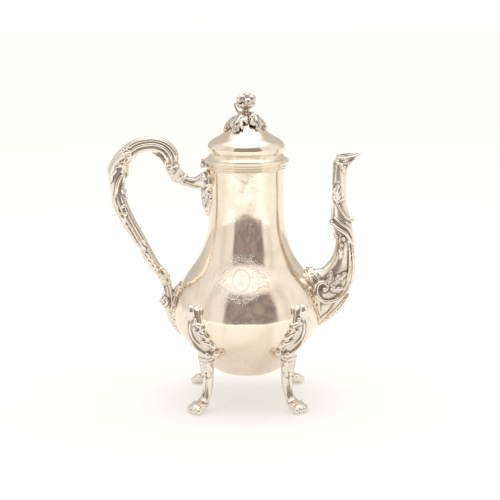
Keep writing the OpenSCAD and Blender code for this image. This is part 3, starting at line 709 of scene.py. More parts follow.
KNEE_Z = BASE_Z + 24
PLATE_TOP = BELLY_Z + 15
LEG = [[FOOT_R + 6.2, 3.4, 4.4, 9], [FOOT_R + 3, 4.4, 7.6, 14], [FOOT_R - 1.5, 5.2, 9, 14.5],
       [FOOT_R - 5.5, 7, 8, 11.5], [FOOT_R - 9, 11.5, 7.2, 9.2], [FOOT_R - 11.6, BASE_Z - 6, 7.8, 9.4],
       [FOOT_R - 13, BASE_Z + 3, 8.2, 9.6], [FOOT_R - 12.6, BASE_Z + 11, 8.8, 10.4],
       [FOOT_R - 11, KNEE_Z - 5, 9.2, 12.4], [FOOT_R - 9, KNEE_Z + 1, 8.6, 14.8],
       [FOOT_R - 8, KNEE_Z + 7, 5, 12]]


class Strip:
    """A raised band on the body's side: stations are [z, way round, width, height]."""

    def __init__(self, stations):
        self.s = through_curve(stations, 8)
        self.s = self.s[np.argsort(self.s[:, 0])]

    def surface(self, z, side, out):
        z, side, out = np.broadcast_arrays(np.asarray(z, float), side, out)
        middle, width, height = (np.interp(z, self.s[:, 0], self.s[:, k]) for k in (1, 2, 3))
        share = np.clip(1 - (2 * (side - middle) / width) ** 2, 0, 1)
        return body_surface(z, side, height * np.sqrt(share) + out)

    def solid(self, across=28):
        t = np.arange(across) * 2 * math.pi / across
        rings = []
        for z, middle, width, height in self.s:
            lift = np.where(np.cos(t) > 0, height, SUNK) * np.cos(t)
            rings.append(body_surface(np.full(across, z), middle + width / 2 * np.sin(t), lift))
        points, faces = loft(rings)
        if signed_volume(points, faces) < 0:
            faces = [f[::-1] for f in faces]
        return points, faces


def leg_parts():
    """One leg standing out along +X, with the lobes of its leaf towards -Y."""
    up = lambda share: KNEE_Z - 6 + share * (PLATE_TOP - KNEE_Z + 6)
    plate = Strip([[up(0), 0, 12, 3.5], [up(0.12), -2.5, 18.5, 4.6], [up(0.3), -4, 22, 3.8],
                   [up(0.48), -3, 19.5, 3], [up(0.65), -1.8, 16.5, 2.8], [up(0.8), -1.8, 11, 3],
                   [up(0.92), -1.8, 8.4, 3.6], [up(1), -1.8, 3, 1.6]])
    skin = plate.surface
    bar = Bar(through_curve(LEG, 6))
    shaft = bar.at
    parts = [plate.solid(), loft(bar.rings(40))]
    parts += [
        # Knob: the scroll's rolled end, and the curl under it
        bead(skin(up(0.9), -1.6, 2.2), 4.6, (0.8, 0.95, 1.5), 14),
        ridge(skin, [[up(0.82), -2], [up(0.78), -5], [up(0.71), -4.6], [up(0.69), -1.4]],
              [1.0, 1.6, 1.4, 0.8], 0.3),
        # Great C-scroll from the knob down the outer side to the knee, and a furrow inside it
        ridge(skin, [[up(0.84), 2], [up(0.7), 4.8], [up(0.5), 5.4], [up(0.33), 3],
                     [up(0.2), -2.6], [up(0.11), -9.4]],
              [1.5, 2.1, 2.4, 2.4, 2.1, 1.3], 0.1),
        ridge(skin, [[up(0.7), 0.6], [up(0.56), 0.8], [up(0.43), -1.4], [up(0.33), -6]],
              [0.9, 1.5, 1.6, 0.9], 0.05),
        # Lobes of the leaf that step down the inner side
        ridge(skin, [[up(0.72), -3.6], [up(0.7), -8], [up(0.64), -10.4], [up(0.57), -8.4]],
              [1.4, 2.1, 2.1, 1.1], 0.4),
        ridge(skin, [[up(0.58), -6], [up(0.55), -11], [up(0.48), -14.2], [up(0.41), -12]],
              [1.5, 2.3, 2.3, 1.2], 0.4),
        ridge(skin, [[up(0.42), -9.4], [up(0.39), -13.8], [up(0.32), -16.2], [up(0.26), -14]],
              [1.4, 2.1, 2.1, 1.1], 0.4),
        # Two beads over the knee
        berry(skin, up(0.16), -8.8, 2.8, 1.0),
        berry(skin, up(0.2), -15.4, 2.8, 0.8),
    ]
    # Small leaves that lie against the body on the outer side
    for k in range(5):
        share = 0.74 - 0.11 * k
        parts.append(leaf(skin, [[up(share), 5.4], [up(share - 0.02), 9], [up(share - 0.1), 11]],
                          2.4, 1.5, 2, 0.4, rows=18))
    # Soft collar at the knee, spray of leaves down the shaft, and its middle ridge
    side = lambda u, v, out: shaft(u * bar.length, np.radians(v), out)
    parts += [
        wire(side(np.full(40, 0.84), np.linspace(-130, 130, 40), 0.0), 1.5),
        ridge(side, [[0.62, 0], [0.5, 0], [0.38, 0], [0.27, 0]], [0.9, 1.1, 1.0, 1.0], 0.2),
    ]
    flat = lambda s, v, out: shaft(s, v / 5.0, out)
    start = 0.83 * bar.length
    for way in (-1, 0, 1):
        parts.append(leaf(flat, [[start, 2.0 * way], [start - 8, 4.2 * way], [start - 17, 3.6 * way]],
                          3.4 if way else 3.0, 1.7, 3, 0.8))
    # Paw: four round toes, each with a knuckle behind it
    for k in (-1.5, -0.5, 0.5, 1.5):
        x = FOOT_R + 4.6 - 1.1 * abs(k)
        parts += [bead([x, 3.9 * k, 3.2], 3.0, (1.25, 0.7, 1.05), 14),
                  bead([x - 4.6, 3.4 * k, 6.3], 2.5, (1.4, 0.68, 1.05), 12)]
    parts += [bead([FOOT_R - 6.5, y, 7.2], 2.2, (1, 1, 1.2)) for y in (-4.4, 4.4)]
    pad, faces = turned([[0.02, 0.02], [4.5, 0.02], [4.5, 1.6], [0.02, 1.6]], 48)
    parts.append((pad + [FOOT_R, 0, 0], faces))
    return parts


def make_legs():
    """Four castings from one pattern; the pairs mirror each other."""
    pattern = filed_to_body(cast("leg_pattern", leg_parts(), 0.36))
    points, _ = mesh_arrays(pattern.data)
    height = np.maximum(points[:, 2], 0)
    legs = {}
    for name, turn, mirrored in (("front_right", -45, False), ("rear_left", 135, False),
                                 ("front_left", 135, True), ("rear_right", -45, True)):
        mesh = pattern.data.copy()
        a = math.radians(turn)
        x = points[:, 0] * math.cos(a) - points[:, 1] * math.sin(a)
        y = points[:, 0] * math.sin(a) + points[:, 1] * math.cos(a)
        y = -y if mirrored else y
        mesh.vertices.foreach_set("co", np.stack([x, y, height], -1).ravel())
        if mirrored:
            mesh.flip_normals()
        mesh.update()
        legs[name] = bpy.data.objects.new("cast_leg_" + name, mesh)
        bpy.context.scene.collection.objects.link(legs[name])
    bpy.data.objects.remove(pattern)
    return legs


# ---- Handle ----------------------------------------------------------------------------------

def box_middle(node):
    """Middle of a CAD node's box, as [x, z]."""
    low, high = cad_box(node)
    return ((low + high) / 2)[[0, 2]]


def sloping(degrees):
    """Direction in the XZ plane at an angle from +X."""
    return np.array([math.cos(math.radians(degrees)), math.sin(math.radians(degrees))])


UPPER = box_middle("handle_insulator_upper")
LOWER = box_middle("handle_insulator_lower")
UPPER_DIR = sloping(-35)
LOWER_DIR = sloping(-63)
RING_T = 3.7
RING_UPPER_D = 11.4
RING_LOWER_D = 9.0
RING_PROUD = 0.6    # how far a ring stands out round the silver
SPIGOT_R = 2.45
SPIGOT_L = 3.2
GRIP_OUT = 48.4
GRIP_W = 11.0
RELIEF = 1.2        # how much narrower the bar is than the grip with its mouldings
# [way down between the rings, way out, width]
GRIP = [[-0.065, 0.075, 12], [-0.114, 0.11, 12], [-0.18, 0.155, 12.2], [-0.226, 0.23, 11.8],
        [-0.253, 0.335, 11.8], [-0.259, 0.475, 11.7], [-0.227, 0.675, 11.8], [-0.169, 0.81, 12.6],
        [-0.079, 0.94, 12.8], [0.03, 1, 13.6], [0.124, 1, 13.4], [0.21, 0.98, 13],
        [0.295, 0.925, 12.8], [0.38, 0.85, 12.3], [0.475, 0.74, 11.6], [0.58, 0.6, 10.6],
        [0.685, 0.46, 10.5], [0.795, 0.315, 10], [0.89, 0.18, 9]]


def grip_bar():
    chord = LOWER - UPPER
    way = unit(chord)
    out = np.array([way[1], -way[0]])
    start = UPPER - RING_T / 2 * UPPER_DIR
    end = LOWER - RING_T / 2 * LOWER_DIR
    line = [[*start, RING_UPPER_D, RING_UPPER_D]]
    for down, bow, width in GRIP:
        line.append([*(UPPER + down * chord + bow * GRIP_OUT * out), width - RELIEF,
                     min(width, GRIP_W) - RELIEF])
    line.append([*end, RING_LOWER_D, RING_LOWER_D])
    return Bar(through_curve(line, 8), -UPPER_DIR, LOWER_DIR)


def ring_round(bar, share, radius):
    """A moulding right round a bar."""
    turn = np.linspace(0, 2 * math.pi, 49)
    return wire(bar.at(np.full(49, share * bar.length), turn, 0.1), radius, 10)


def make_grip():
    bar = grip_bar()
    side = flank(bar)
    work = [
        # Scroll collar at the upper end
        ridge(side, spiral([-62.6, 199.2], 3.9, 0.9, 130, 1.3), [1.2, 1.1, 0.7], 0.5, 1),
        leaf(side, [[-66, 201], [-71, 206.4], [-78, 209.4]], 2.9, 1.3, 4, 0.3),
        # Acanthus over the shoulder
        leaf(side, [[-94, 212.4], [-102, 208.4], [-108.8, 200], [-112.6, 186]], 5.4, 2.3, 5, 0.6,
             rows=80),
        leaf(side, [[-97.4, 190], [-100.4, 197.6], [-99.4, 205]], 4.0, 2.0, 4, 0.5),
        # S-scroll and its hook
        ridge(side, [[-98.8, 195], [-104, 191.6], [-106.6, 184.6], [-107.6, 178], [-110, 172.4]],
              [0.9, 1.5, 1.6, 1.5, 0.8], 0.5),
        ridge(side, [[-101.8, 188], [-103.4, 181], [-101.4, 177.6], [-99.4, 180.4]],
              [0.9, 1.3, 1.2, 0.8], 0.5),
        ridge(side, [[-109.4, 176], [-107.4, 168], [-105.8, 160], [-101.6, 150]],
              [0.6, 1.1, 1.1, 0.5], 0.3),
        berry(side, -102.1, 167.2, 1.85), berry(side, -100, 160.8, 1.85),
        berry(side, -104.6, 160.8, 1.85), berry(side, -100.2, 172.6, 1.2),
        leaf(side, [[-103, 158.4], [-101.4, 151], [-97.4, 143.4]], 3.0, 1.5, 3, 0.3),
        # Spray above the lower ring
        leaf(side, [[-75, 110], [-80.6, 119], [-86.6, 129.4]], 4.4, 1.9, 5, 0.5),
        berry(side, -74.4, 110.6, 1.2),
    ]
    both = both_flanks(work)
    # Mouldings of the arch, of the straight part, and of the lower end
    for start, end, angles, radius, lift in (
            (0.04, 0.4, (-124, 124), 2.0, -0.4), (0.05, 0.34, (-84, 84), 1.5, 0.1),
            (0.05, 0.34, (-38, 0, 38), 2.3, -0.5), (0.53, 0.84, (-122, 0, 122), 2.2, -0.5),
            (0.53, 0.84, (-82, -46, 46, 82), 1.3, 0.05), (0.32, 0.56, (-150, 150), 1.8, -0.2),
            (0.84, 0.96, (-120, -50, 0, 50, 120), 1.2, -0.1)):
        both += reeding(bar, start, end, angles, radius, lift)
    both += [ring_round(bar, 0.036, 0.8), ring_round(bar, 0.968, 0.7)]
    # Leaf along the outer line, with the tip that breaks it
    outer = lambda s, v, out: bar.at(s, v / 6.0, out)
    both += [leaf(outer, [[0.27 * bar.length, 0], [0.36 * bar.length, 0], [0.45 * bar.length, 0]], 4.6,
                  1.6, 4, 2.2, rows=80)]
    return cast("cast_grip", [loft(bar.rings(64))] + both, 0.34, 14)


def make_socket_upper():
    face = UPPER + RING_T / 2 * UPPER_DIR
    reach = -face[0] - NECK_R
    arm = [[0, 0, RING_UPPER_D, RING_UPPER_D], [0.11, -1.9, 10.4, 10], [0.3, -4.4, 8.8, 8.4],
           [0.5, -5.6, 9, 8.6], [0.68, -5, 12.4, 12], [0.84, -4.6, 17, 16], [1.08, -4.6, 19, 18]]
    arm = [[face[0] + a * reach, face[1] + b, w, d] for a, b, w, d in arm]
    bar = Bar(through_curve(arm, 8), UPPER_DIR, np.array([1.0, 0]))
    side = flank(bar)
    top = face[1] + 6
    back = Strip([[top, 0, 5, 2], [top - 4, 0, 13, 4], [top - 10, 0, 18, 5.2], [top - 18, 0, 19, 4.8],
                  [top - 26, 0, 15, 4], [top - 33, 0, 9, 2.8], [top - 40, 0, 2, 0.6]])
    skin = back.surface
    relief = [back.solid()]
    # Shell with its ribs, framed by a C-scroll each side
    for way in (-1, 1):
        relief += [
            ridge(skin, [[top - 1, 3 * way], [top - 5, 8.4 * way], [top - 12, 10 * way],
                         [top - 18, 7 * way], [top - 17, 3.4 * way]], [0.9, 1.6, 1.7, 1.4, 0.8], 0.4),
            leaf(skin, [[top - 16, 5 * way], [top - 23, 8.4 * way], [top - 31, 7.4 * way]], 3.6, 1.7, 3,
                 0.5),
        ]
        for k in range(3):
            turn = math.radians(16 + 32 * k)
            relief.append(ridge(skin, [[top - 14 + 2 * math.cos(turn), way * 2 * math.sin(turn)],
                                       [top - 14 + 11 * math.cos(turn), way * 9 * math.sin(turn)]],
                                [0.7, 1.5], 0.1, 8))
    relief += [leaf(skin, [[top - 17, 0], [top - 28, 0], [top - 39, 0]], 5.0, 2.1, 4, 0.4, rows=60)]
    arms = [ridge(side, [[face[0] + 0.14 * reach, face[1] - 0.2], [face[0] + 0.5 * reach, face[1] - 2.6],
                         [face[0] + 0.76 * reach, face[1] + 1]], [0.8, 1.1, 1.0], 0.3),
            ridge(side, [[face[0] + 0.1 * reach, face[1] - 4.2], [face[0] + 0.45 * reach, face[1] - 8],
                         [face[0] + 0.76 * reach, face[1] - 9]], [0.8, 1.1, 1.0], 0.3)]
    work = both_flanks(arms) + [turned_to_back(p) for p in relief]
    work += [ring_round(bar, 0.17, 0.7)]
    return filed_to_body(cast("cast_socket_upper", [loft(bar.rings(48))] + work, 0.32))


def make_socket_lower():
    face = LOWER + RING_T / 2 * LOWER_DIR
    r, z = BELLY_R, BELLY_Z
    arm = [[face[0], face[1], RING_LOWER_D, RING_LOWER_D], [face[0] + 1.3, face[1] - 4, 8.2, 8],
           [-(r + 4.6), z + 18, 8.6, 8], [-(r + 4.4), z + 12, 10.2, 8.8], [-(r + 3.6), z + 6, 11, 9.6],
           [-(r + 2), z - 1, 10, 10], [-(r + 0.2), z - 8, 7.6, 8.6], [-(r - 2.4), z - 15, 4.6, 6],
           [-(r - 5), z - 20, 1.6, 2]]
    bar = Bar(through_curve(arm, 8), LOWER_DIR)
    side = flank(bar)
    back = Strip([[z + 26, 0, 3, 1.2], [z + 19, 0, 7, 4], [z + 8, 0, 12, 3], [z - 3, 0, 13, 2.2],
                  [z - 13, 0, 8.4, 1.5], [z - 22, 0, 2, 0.7]])
    skin = back.surface
    relief = [back.solid(),
              leaf(skin, [[z + 4, 0], [z - 9, 0], [z - 24, 0]], 5.0, 2.0, 7, 0.3, rows=70)]
    for way in (-1, 1):
        relief += [leaf(skin, [[z + 6, 3 * way], [z - 2, 7.4 * way], [z - 10, 8.6 * way]], 3.2, 1.6, 5,
                        0.4),
                   leaf(skin, [[z + 14, 3 * way], [z + 19, 7 * way], [z + 22, 10 * way]], 2.4, 1.4, 4,
                        0.6),
                   berry(skin, z + 22, 10.6 * way, 1.8)]
    work = [ridge(side, spiral([-(r + 8.6), z + 8.4], 4.4, 0.9, 20, 1.35), [1.5, 1.4, 0.8], 0.4, 1),
            ridge(side, [[face[0] + 2.6, face[1] - 3], [-(r + 2), z + 17], [-(r + 1), z + 7],
                         [-r, z - 3]], [0.8, 1.2, 1.3, 0.7], 0.3),
            ridge(side, [[face[0] - 1, face[1] - 5], [-(r + 7), z + 17], [-(r + 9.4), z + 12.8]],
                  [0.8, 1.1, 1.0], 0.3)]
    work = both_flanks(work) + [turned_to_back(p) for p in relief]
    work += [ring_round(bar, 0.09, 0.6), bead([-(r + 9.6), 0, z + 8], 2.8, (1, 1.5, 1))]
    return filed_to_body(cast("cast_socket_lower", [loft(bar.rings(44))] + work, 0.32))


def make_insulator(name, middle, way, diameter):
    """A turned ring with a spigot at each end, softly rounded by use."""
    r = diameter / 2 + RING_PROUD
    half = RING_T / 2
    end = half + SPIGOT_L
    outline = rounded([[0.02, -end], [SPIGOT_R, -end], [SPIGOT_R, -half], [r, -half],
                       [r, half], [SPIGOT_R, half], [SPIGOT_R, end], [0.02, end]], 0.3)
    bulge = np.exp(-(outline[:, 1] / (0.7 * half)) ** 2) * (outline[:, 0] > r - 0.5)
    outline[:, 0] += 0.25 * bulge
    points, faces = turned(outline, 96)
    lean = np.array([way[0], 0, way[1]])
    side = np.array([0.0, 1, 0])
    other = np.cross(side, lean)
    place = np.array([middle[0], 0, middle[1]])
    turn = lambda p: place + p[:, :1] * other + p[:, 1:2] * side + p[:, 2:] * lean
    return new_object(name, turn(points), faces)


# ---- Finial ----------------------------------------------------------------------------------

def dome_surface(azimuth):
    """The dome as a surface whose along runs outwards at an azimuth."""
    a0 = math.radians(azimuth)

    def surface(r, side, out):
        r, side, out = np.broadcast_arrays(np.asarray(r, float), side, out)
        radius = np.hypot(r, side)
        turn = np.arctan2(side, r) + a0
        slope = (dome_height(radius + 0.4) - dome_height(radius - 0.4)) / 0.8
        size = np.sqrt(1 + slope ** 2)
        reach = radius - out * slope / size
        return np.stack([reach * np.cos(turn), reach * np.sin(turn),
                         dome_height(radius) + 0.1 + out / size], -1)
    return surface


def arched(azimuth, length, rise):
    """A surface that springs from the dome's middle and comes down on it again."""
    skin = dome_surface(azimuth)
    return lambda along, across, out: skin(
        along, across, out + rise * np.sin(math.pi * np.clip((along - 1) / length, 0, 1)))


def make_finial_leaves():
    parts = []

    for azimuth, length, width, rise in ((240, 17.5, 6.4, 2.4), (312, 15.5, 5.4, 2.6),
                                         (190, 18, 5.0, 2.0), (-12, 16.5, 5.0, 2.4),
                                         (60, 16.5, 5.6, 2.2), (124, 16.5, 5.6, 2.2)):
        parts.append(leaf(arched(azimuth, length, rise),
                          [[2.6, 0], [length * 0.45, 0.5], [length * 0.75, -0.4], [length, 0.5]],
                          width, 2.4, 3, 0.7, 0.6, rows=60))
    for azimuth in (272, 212, 336, 92, 155, 28):
        parts.append(leaf(arched(azimuth, 12.5, 1.2), [[3, 0], [7.5, 0.4], [11, 0]], 2.8, 1.8, 3, 0.6,
                          rows=36))
    skin = dome_surface(0)
    for x, y, r in ((3.8, -6.8, 2.3), (-1.2, -8.6, 1.5), (7.2, -4.6, 1.5), (-6.6, 5.2, 2.0)):
        parts.append(berry(skin, x, y, r, 1.8))
    parts.append(turned([[1.7, TOP_Z], [5.2, TOP_Z], [5.0, TOP_Z + 1.2], [1.7, TOP_Z + 1.35]], 64))
    return cast("finial_leaf_cup", parts, 0.28, 4)


def make_finial_stem():
    z = TOP_Z + 1.42
    outline = [[0.02, z - 7.2], [1.48, z - 7.2], [1.48, z], [3.9, z], [3.5, z + 0.9], [2.6, z + 2],
               [2.4, z + 3], [2.9, z + 4.1], [2.9, z + 4.45], [0.02, z + 4.45]]
    parts = [turned(rounded(outline, 0.15), 48)]
    curl = through_curve([[-2.2, -1.6, z + 1.9], [-4.6, -1.8, z + 1.4], [-6.9, -1.6, z + 2.7],
                          [-8.3, -1.4, z + 5.4], [-9.3, -1.2, z + 8]], 10)
    parts.append(wire(curl, np.linspace(1.5, 0.8, len(curl)), 12))
    hook = through_curve([[-9.2, -1.2, z + 7.6], [-8.8, -1.2, z + 9.2], [-7.6, -1.3, z + 9.4]], 8)
    parts.append(wire(hook, np.linspace(0.8, 0.6, len(hook)), 10))
    for k in range(7):
        a = k * 2 * math.pi / 7
        rib = np.array([[3.7 * math.cos(a), 3.7 * math.sin(a), z + 0.4],
                        [2.6 * math.cos(a + 0.25), 2.6 * math.sin(a + 0.25), z + 2.4],
                        [2.8 * math.cos(a + 0.5), 2.8 * math.sin(a + 0.5), z + 4.2]])
        parts.append(wire(through_curve(rib, 6), 0.55, 8))
    return cast("finial_turned_stem", parts, 0.22)


def rosebud(middle, radius, turn, petals=5):
    """A closing bud with petals that overlap in a spiral."""
    lat = np.linspace(-0.5, 0.5, 25)[1:-1] * math.pi
    lon = np.arange(60) * 2 * math.pi / 60
    rings = []
    for a in lat:
        fold = (petals * (lon + turn + 0.55 * math.sin(a)) / (2 * math.pi)) % 1
        lip = 1 + 0.2 * fold ** 2 * math.cos(a) - 0.05 * math.exp(-((a - 1.2) / 0.25) ** 2)
        r = radius * math.cos(a) ** 0.9 * lip
        rings.append(np.stack([r * np.cos(lon), r * np.sin(lon),
                               np.full(60, radius * 1.06 * math.sin(a))], -1))
    points, faces = loft(rings)
    return points + np.asarray(middle, float), faces


def make_finial_buds():
    z = TOP_Z + 5.95
    parts = [rosebud([-3.4, -1.6, z + 8.4], 4.0, 0.4, 4), rosebud([1.4, -3.6, z + 6.0], 3.5, 1.7, 4),
             rosebud([4.4, -0.2, z + 8.0], 3.9, 2.2, 4), rosebud([-0.2, 3.4, z + 7.4], 3.9, 2.9, 4),
             rosebud([1.0, 0.2, z + 10.4], 3.2, 4.2, 4), rosebud([-5.0, -1.0, z + 4.0], 2.6, 1.1, 4)]
    cup = [[0.02, z + 0.1], [3.2, z + 0.1], [5.8, z + 1.2], [7.2, z + 3.1], [7.5, z + 4.4],
           [6.7, z + 4.7], [5.2, z + 3.6], [0.02, z + 3.2]]
    points, faces = turned(near_curve(cup, 5), 72)
    wave = 1 + 0.055 * np.cos(6 * np.arctan2(points[:, 1], points[:, 0]))
    points[:, :2] *= wave[:, None] * np.array([1.05, 0.95])
    points[:, 0] -= 0.2
    parts.append((points, faces))
    for k in range(6):
        a = k * math.pi / 3 + 0.2
        tip = np.array([[2.6 * math.cos(a), 2.6 * math.sin(a), z + 0.6],
                        [6.6 * math.cos(a), 6.2 * math.sin(a), z + 2.2],
                        [7.4 * math.cos(a), 6.9 * math.sin(a), z + 5.2]])
        parts.append(wire(through_curve(tip, 8), np.linspace(0.55, 0.75, 17), 8))
    return cast("finial_bud_cluster", parts, 0.24, 4)


# ---- Engraving -------------------------------------------------------------------------------

CUT_R = 0.26     # half width of an engraved line


def front(x, z, out):
    """The body's front: x is the way round from the middle, z the height."""
    r = body_radius(z)
    a = -math.pi / 2 + np.asarray(x, float) / r
    return np.stack(np.broadcast_arrays((r + out) * np.cos(a), (r + out) * np.sin(a), z), -1)


def cut_line(places, width):
    """An engraved line that swells in the middle."""
    line = through_curve(places, 6)
    taper = np.sin(np.linspace(0.12, math.pi - 0.12, len(line))) ** 0.5
    return wire(front(line[:, 0], line[:, 1], 0.04), CUT_R * width * taper, 5)


def cut_spiral(x, z, size, turn, turns):
    s = spiral([z, x], size, size * 0.16, turn, turns, 10)
    return wire(front(s[:, 1], s[:, 0], 0.04), CUT_R * np.linspace(1.2, 0.6, len(s)), 5)


CARTOUCHE_X = -4.5
CARTOUCHE_Z = BELLY_Z + 36.5


def make_cartouche():
    """Generic scrolls about an empty field, cut into the front of the belly."""
    def cut(path, width=1.0):
        lines.append(cut_line([[CARTOUCHE_X + x, CARTOUCHE_Z + z] for x, z in path], width))

    lines = []
    for wide, high in ((6.4, 7.2), (7.3, 8.2)):
        t = np.linspace(0, 2 * math.pi, 61)
        lines.append(wire(front(CARTOUCHE_X + wide * np.cos(t), CARTOUCHE_Z + high * np.sin(t), 0.04),
                          CUT_R, 5))
    # Running scrolls: [across, up, size, where it starts, turns]
    scrolls = [[10.6, 4.6, 3.6, 200, 1.5], [10.8, -4.4, 3.5, 320, 1.5], [15.4, 0.6, 3.2, 250, 1.6],
               [15.6, 7.0, 2.6, 150, 1.4], [15.2, -6.6, 2.7, 20, 1.4], [20.2, 3.6, 2.8, 210, 1.5],
               [20.2, -3.6, 2.8, 330, 1.5], [6.0, 11.4, 3.0, 170, 1.5], [5.8, -11.2, 3.0, 350, 1.5],
               [11.2, 10.6, 2.4, 190, 1.4], [10.8, -11.0, 2.4, 340, 1.4], [2.4, 15.4, 2.3, 140, 1.5],
               [2.2, -14.8, 2.2, 30, 1.5], [7.6, 15.6, 1.9, 160, 1.3]]
    for hand in (-1, 1):
        for x, z, size, turn, turns in scrolls:
            lines.append(cut_spiral(CARTOUCHE_X + hand * x, CARTOUCHE_Z + z, size, turn * hand,
                                    turns * hand))
            # A small leaf that springs from each scroll
            away = math.atan2(z, x)
            for bend in (-0.5, 0.15, 0.7):
                way = np.array([math.cos(away + bend), math.sin(away + bend)])
                tip = np.array([x, z]) + (size + 2.0) * way
                root = np.array([x, z]) + size * 0.7 * way
                bow = [(root[0] + tip[0]) / 2 - 0.4 * math.sin(away), (root[1] + tip[1]) / 2 + 0.4]
                cut([[hand * q[0], q[1]] for q in (root, bow, tip)], 0.8)
        # Bands that tie the scrolls together
        for path in ([[7, 8], [12, 7.6], [17, 4], [22.6, 6.4]],
                     [[7, -8], [12, -7.8], [17, -4], [22.6, -6]],
                     [[0.6, 9.6], [4, 13.4], [9, 13], [13.6, 9.4]],
                     [[0.6, -9.4], [4, -13.2], [9, -13.4], [13.2, -9.4]]):
            cut([[hand * x, z] for x, z in path], 1.3)
        # Sprig in the field
        for k in range(4):
            cut([[0, -4.4 + 2.2 * k], [hand * (1.6 + 0.2 * k), -2.6 + 2.0 * k],
                 [hand * 3.4, -2.0 + 2.0 * k]], 0.9)
    cut([[0, -5.6], [0.3, -1], [-0.2, 3], [0, 5.8]], 1.1)
    return new_object("engraved_scrolls", *joined(lines))


# ---- Materials -------------------------------------------------------------------------------

class Tree:
    """Short way to add and join the nodes of a material, a group or the world."""

    def __init__(self, tree):
        self.tree = tree

    def add(self, kind, **values):
        node = self.tree.nodes.new(kind)
        for key, value in values.items():
            if key in node.bl_rna.properties:
                setattr(node, key, value)
            else:
                self.put(node.inputs[key.replace("_", " ")], value)
        return node

    def put(self, socket, value):
        if isinstance(value, bpy.types.NodeSocket):
            self.tree.links.new(value, socket)
        else:
            socket.default_value = value

    def math(self, operation, *values, clamp=False):
        node = self.tree.nodes.new("ShaderNodeMath")
        node.operation = operation
        node.use_clamp = clamp
        for socket, value in zip(node.inputs, values):
            self.put(socket, value)
        return node.outputs[0]

    def ramp(self, value, low, high):
        """0 below low and 1 above high, with soft ends."""
        node = self.tree.nodes.new("ShaderNodeMapRange")
        node.interpolation_type = "SMOOTHSTEP"
        self.put(node.inputs[0], value)
        self.put(node.inputs[1], low)
        self.put(node.inputs[2], high)
        return node.outputs[0]

    def blend(self, share, a, b):
        node = self.tree.nodes.new("ShaderNodeMix")
        node.data_type = "RGBA"
        self.put(node.inputs[0], share)
        self.put(node.inputs[6], a)
        self.put(node.inputs[7], b)
        return node.outputs[2]

    def noise(self, place, scale, detail=3.0, distortion=0.0):
        node = self.tree.nodes.new("ShaderNodeTexNoise")
        self.put(node.inputs["Vector"], place)
        for key, value in (("Scale", scale), ("Detail", detail), ("Distortion", distortion)):
            self.put(node.inputs[key], value)
        return node.outputs["Fac"]

    def stretched(self, place, scale):
        node = self.tree.nodes.new("ShaderNodeMapping")
        self.put(node.inputs["Vector"], place)
        node.inputs["Scale"].default_value = scale
        return node.outputs[0]


def new_group(name, inputs, outputs):
    tree = bpy.data.node_groups.new(name, "ShaderNodeTree")
    for key, kind, value in inputs:
        socket = tree.interface.new_socket(key, in_out="INPUT", socket_type=kind)
        socket.default_value = value
    for key, kind in outputs:
        tree.interface.new_socket(key, in_out="OUTPUT", socket_type=kind)
    t = Tree(tree)
    return t, t.add("NodeGroupInput").outputs, t.add("NodeGroupOutput").inputs


FLOAT, COLOUR = "NodeSocketFloat", "NodeSocketColor"


def polish_marks_group():
    """Hairlines from years of wiping, faint planishing, and small pits."""
    t, given, out = new_group("polish marks", [("Scratch", FLOAT, 0.5), ("Planish", FLOAT, 0.5),
                                               ("Pits", FLOAT, 0.3)],
                              [("Height", FLOAT), ("Hairlines", FLOAT), ("Pit mask", FLOAT)])
    place = t.add("ShaderNodeTexCoord").outputs["Object"]
    around = t.noise(t.stretched(place, (160, 160, 2600)), 1.0, 3.0, 0.6)
    along = t.noise(t.stretched(place, (2400, 1900, 130)), 1.0, 2.0, 0.9)
    hair = t.math("MAXIMUM", t.ramp(around, 0.60, 0.74), t.ramp(along, 0.62, 0.76))
    planish = t.noise(place, 62.0, 1.5)
    ripple = t.noise(place, 210.0, 2.0)
    specks = t.add("ShaderNodeTexVoronoi", Scale=420.0)
    t.put(specks.inputs["Vector"], place)
    patch = t.ramp(t.noise(place, 34.0, 2.0), 0.5, 0.62)
    pit = t.math("MULTIPLY", t.math("SUBTRACT", 1.0, t.ramp(specks.outputs["Distance"], 0.03, 0.13)),
                 t.math("MULTIPLY", patch, given["Pits"]))
    height = t.math("MULTIPLY", planish, given["Planish"])
    ripple = t.math("MULTIPLY", ripple, t.math("MULTIPLY", given["Planish"], 0.1))
    height = t.math("ADD", height, ripple)
    height = t.math("SUBTRACT", height, t.math("MULTIPLY", hair, t.math("MULTIPLY", given["Scratch"],
                                                                        0.02)))
    t.put(out["Height"], t.math("SUBTRACT", height, t.math("MULTIPLY", pit, 0.03)))
    t.put(out["Hairlines"], t.math("MULTIPLY", hair, given["Scratch"]))
    t.put(out["Pit mask"], pit)
    return t.tree


def old_silver_group():
    """Colour and dullness of silver that was polished many times but never evenly."""
    t, given, out = new_group("old silver", [("Bright", COLOUR, (0.9, 0.8, 0.68, 1)),
                                             ("Toned", COLOUR, (0.7, 0.55, 0.4, 1)),
                                             ("Toning", FLOAT, 0.5), ("Spread", FLOAT, 26.0)],
                              [("Color", COLOUR), ("Dullness", FLOAT)])
    place = t.add("ShaderNodeTexCoord").outputs["Object"]
    cloud = t.ramp(t.noise(place, given["Spread"], 5.0, 1.2), 0.42, 0.74)
    smear = t.ramp(t.noise(t.stretched(place, (90, 90, 20)), 1.0, 4.0, 1.6), 0.5, 0.78)
    film = t.math("MULTIPLY", t.math("MAXIMUM", cloud, t.math("MULTIPLY", smear, 0.8)), given["Toning"])
    fine = t.math("MULTIPLY", t.ramp(t.noise(place, 380.0, 4.0), 0.4, 0.8), 0.1)
    share = t.math("ADD", film, t.math("MULTIPLY", fine, given["Toning"]), clamp=True)
    t.put(out["Color"], t.blend(share, given["Bright"], given["Toned"]))
    t.put(out["Dullness"], share)
    return t.tree


POLISH_MARKS = polish_marks_group()
OLD_SILVER = old_silver_group()


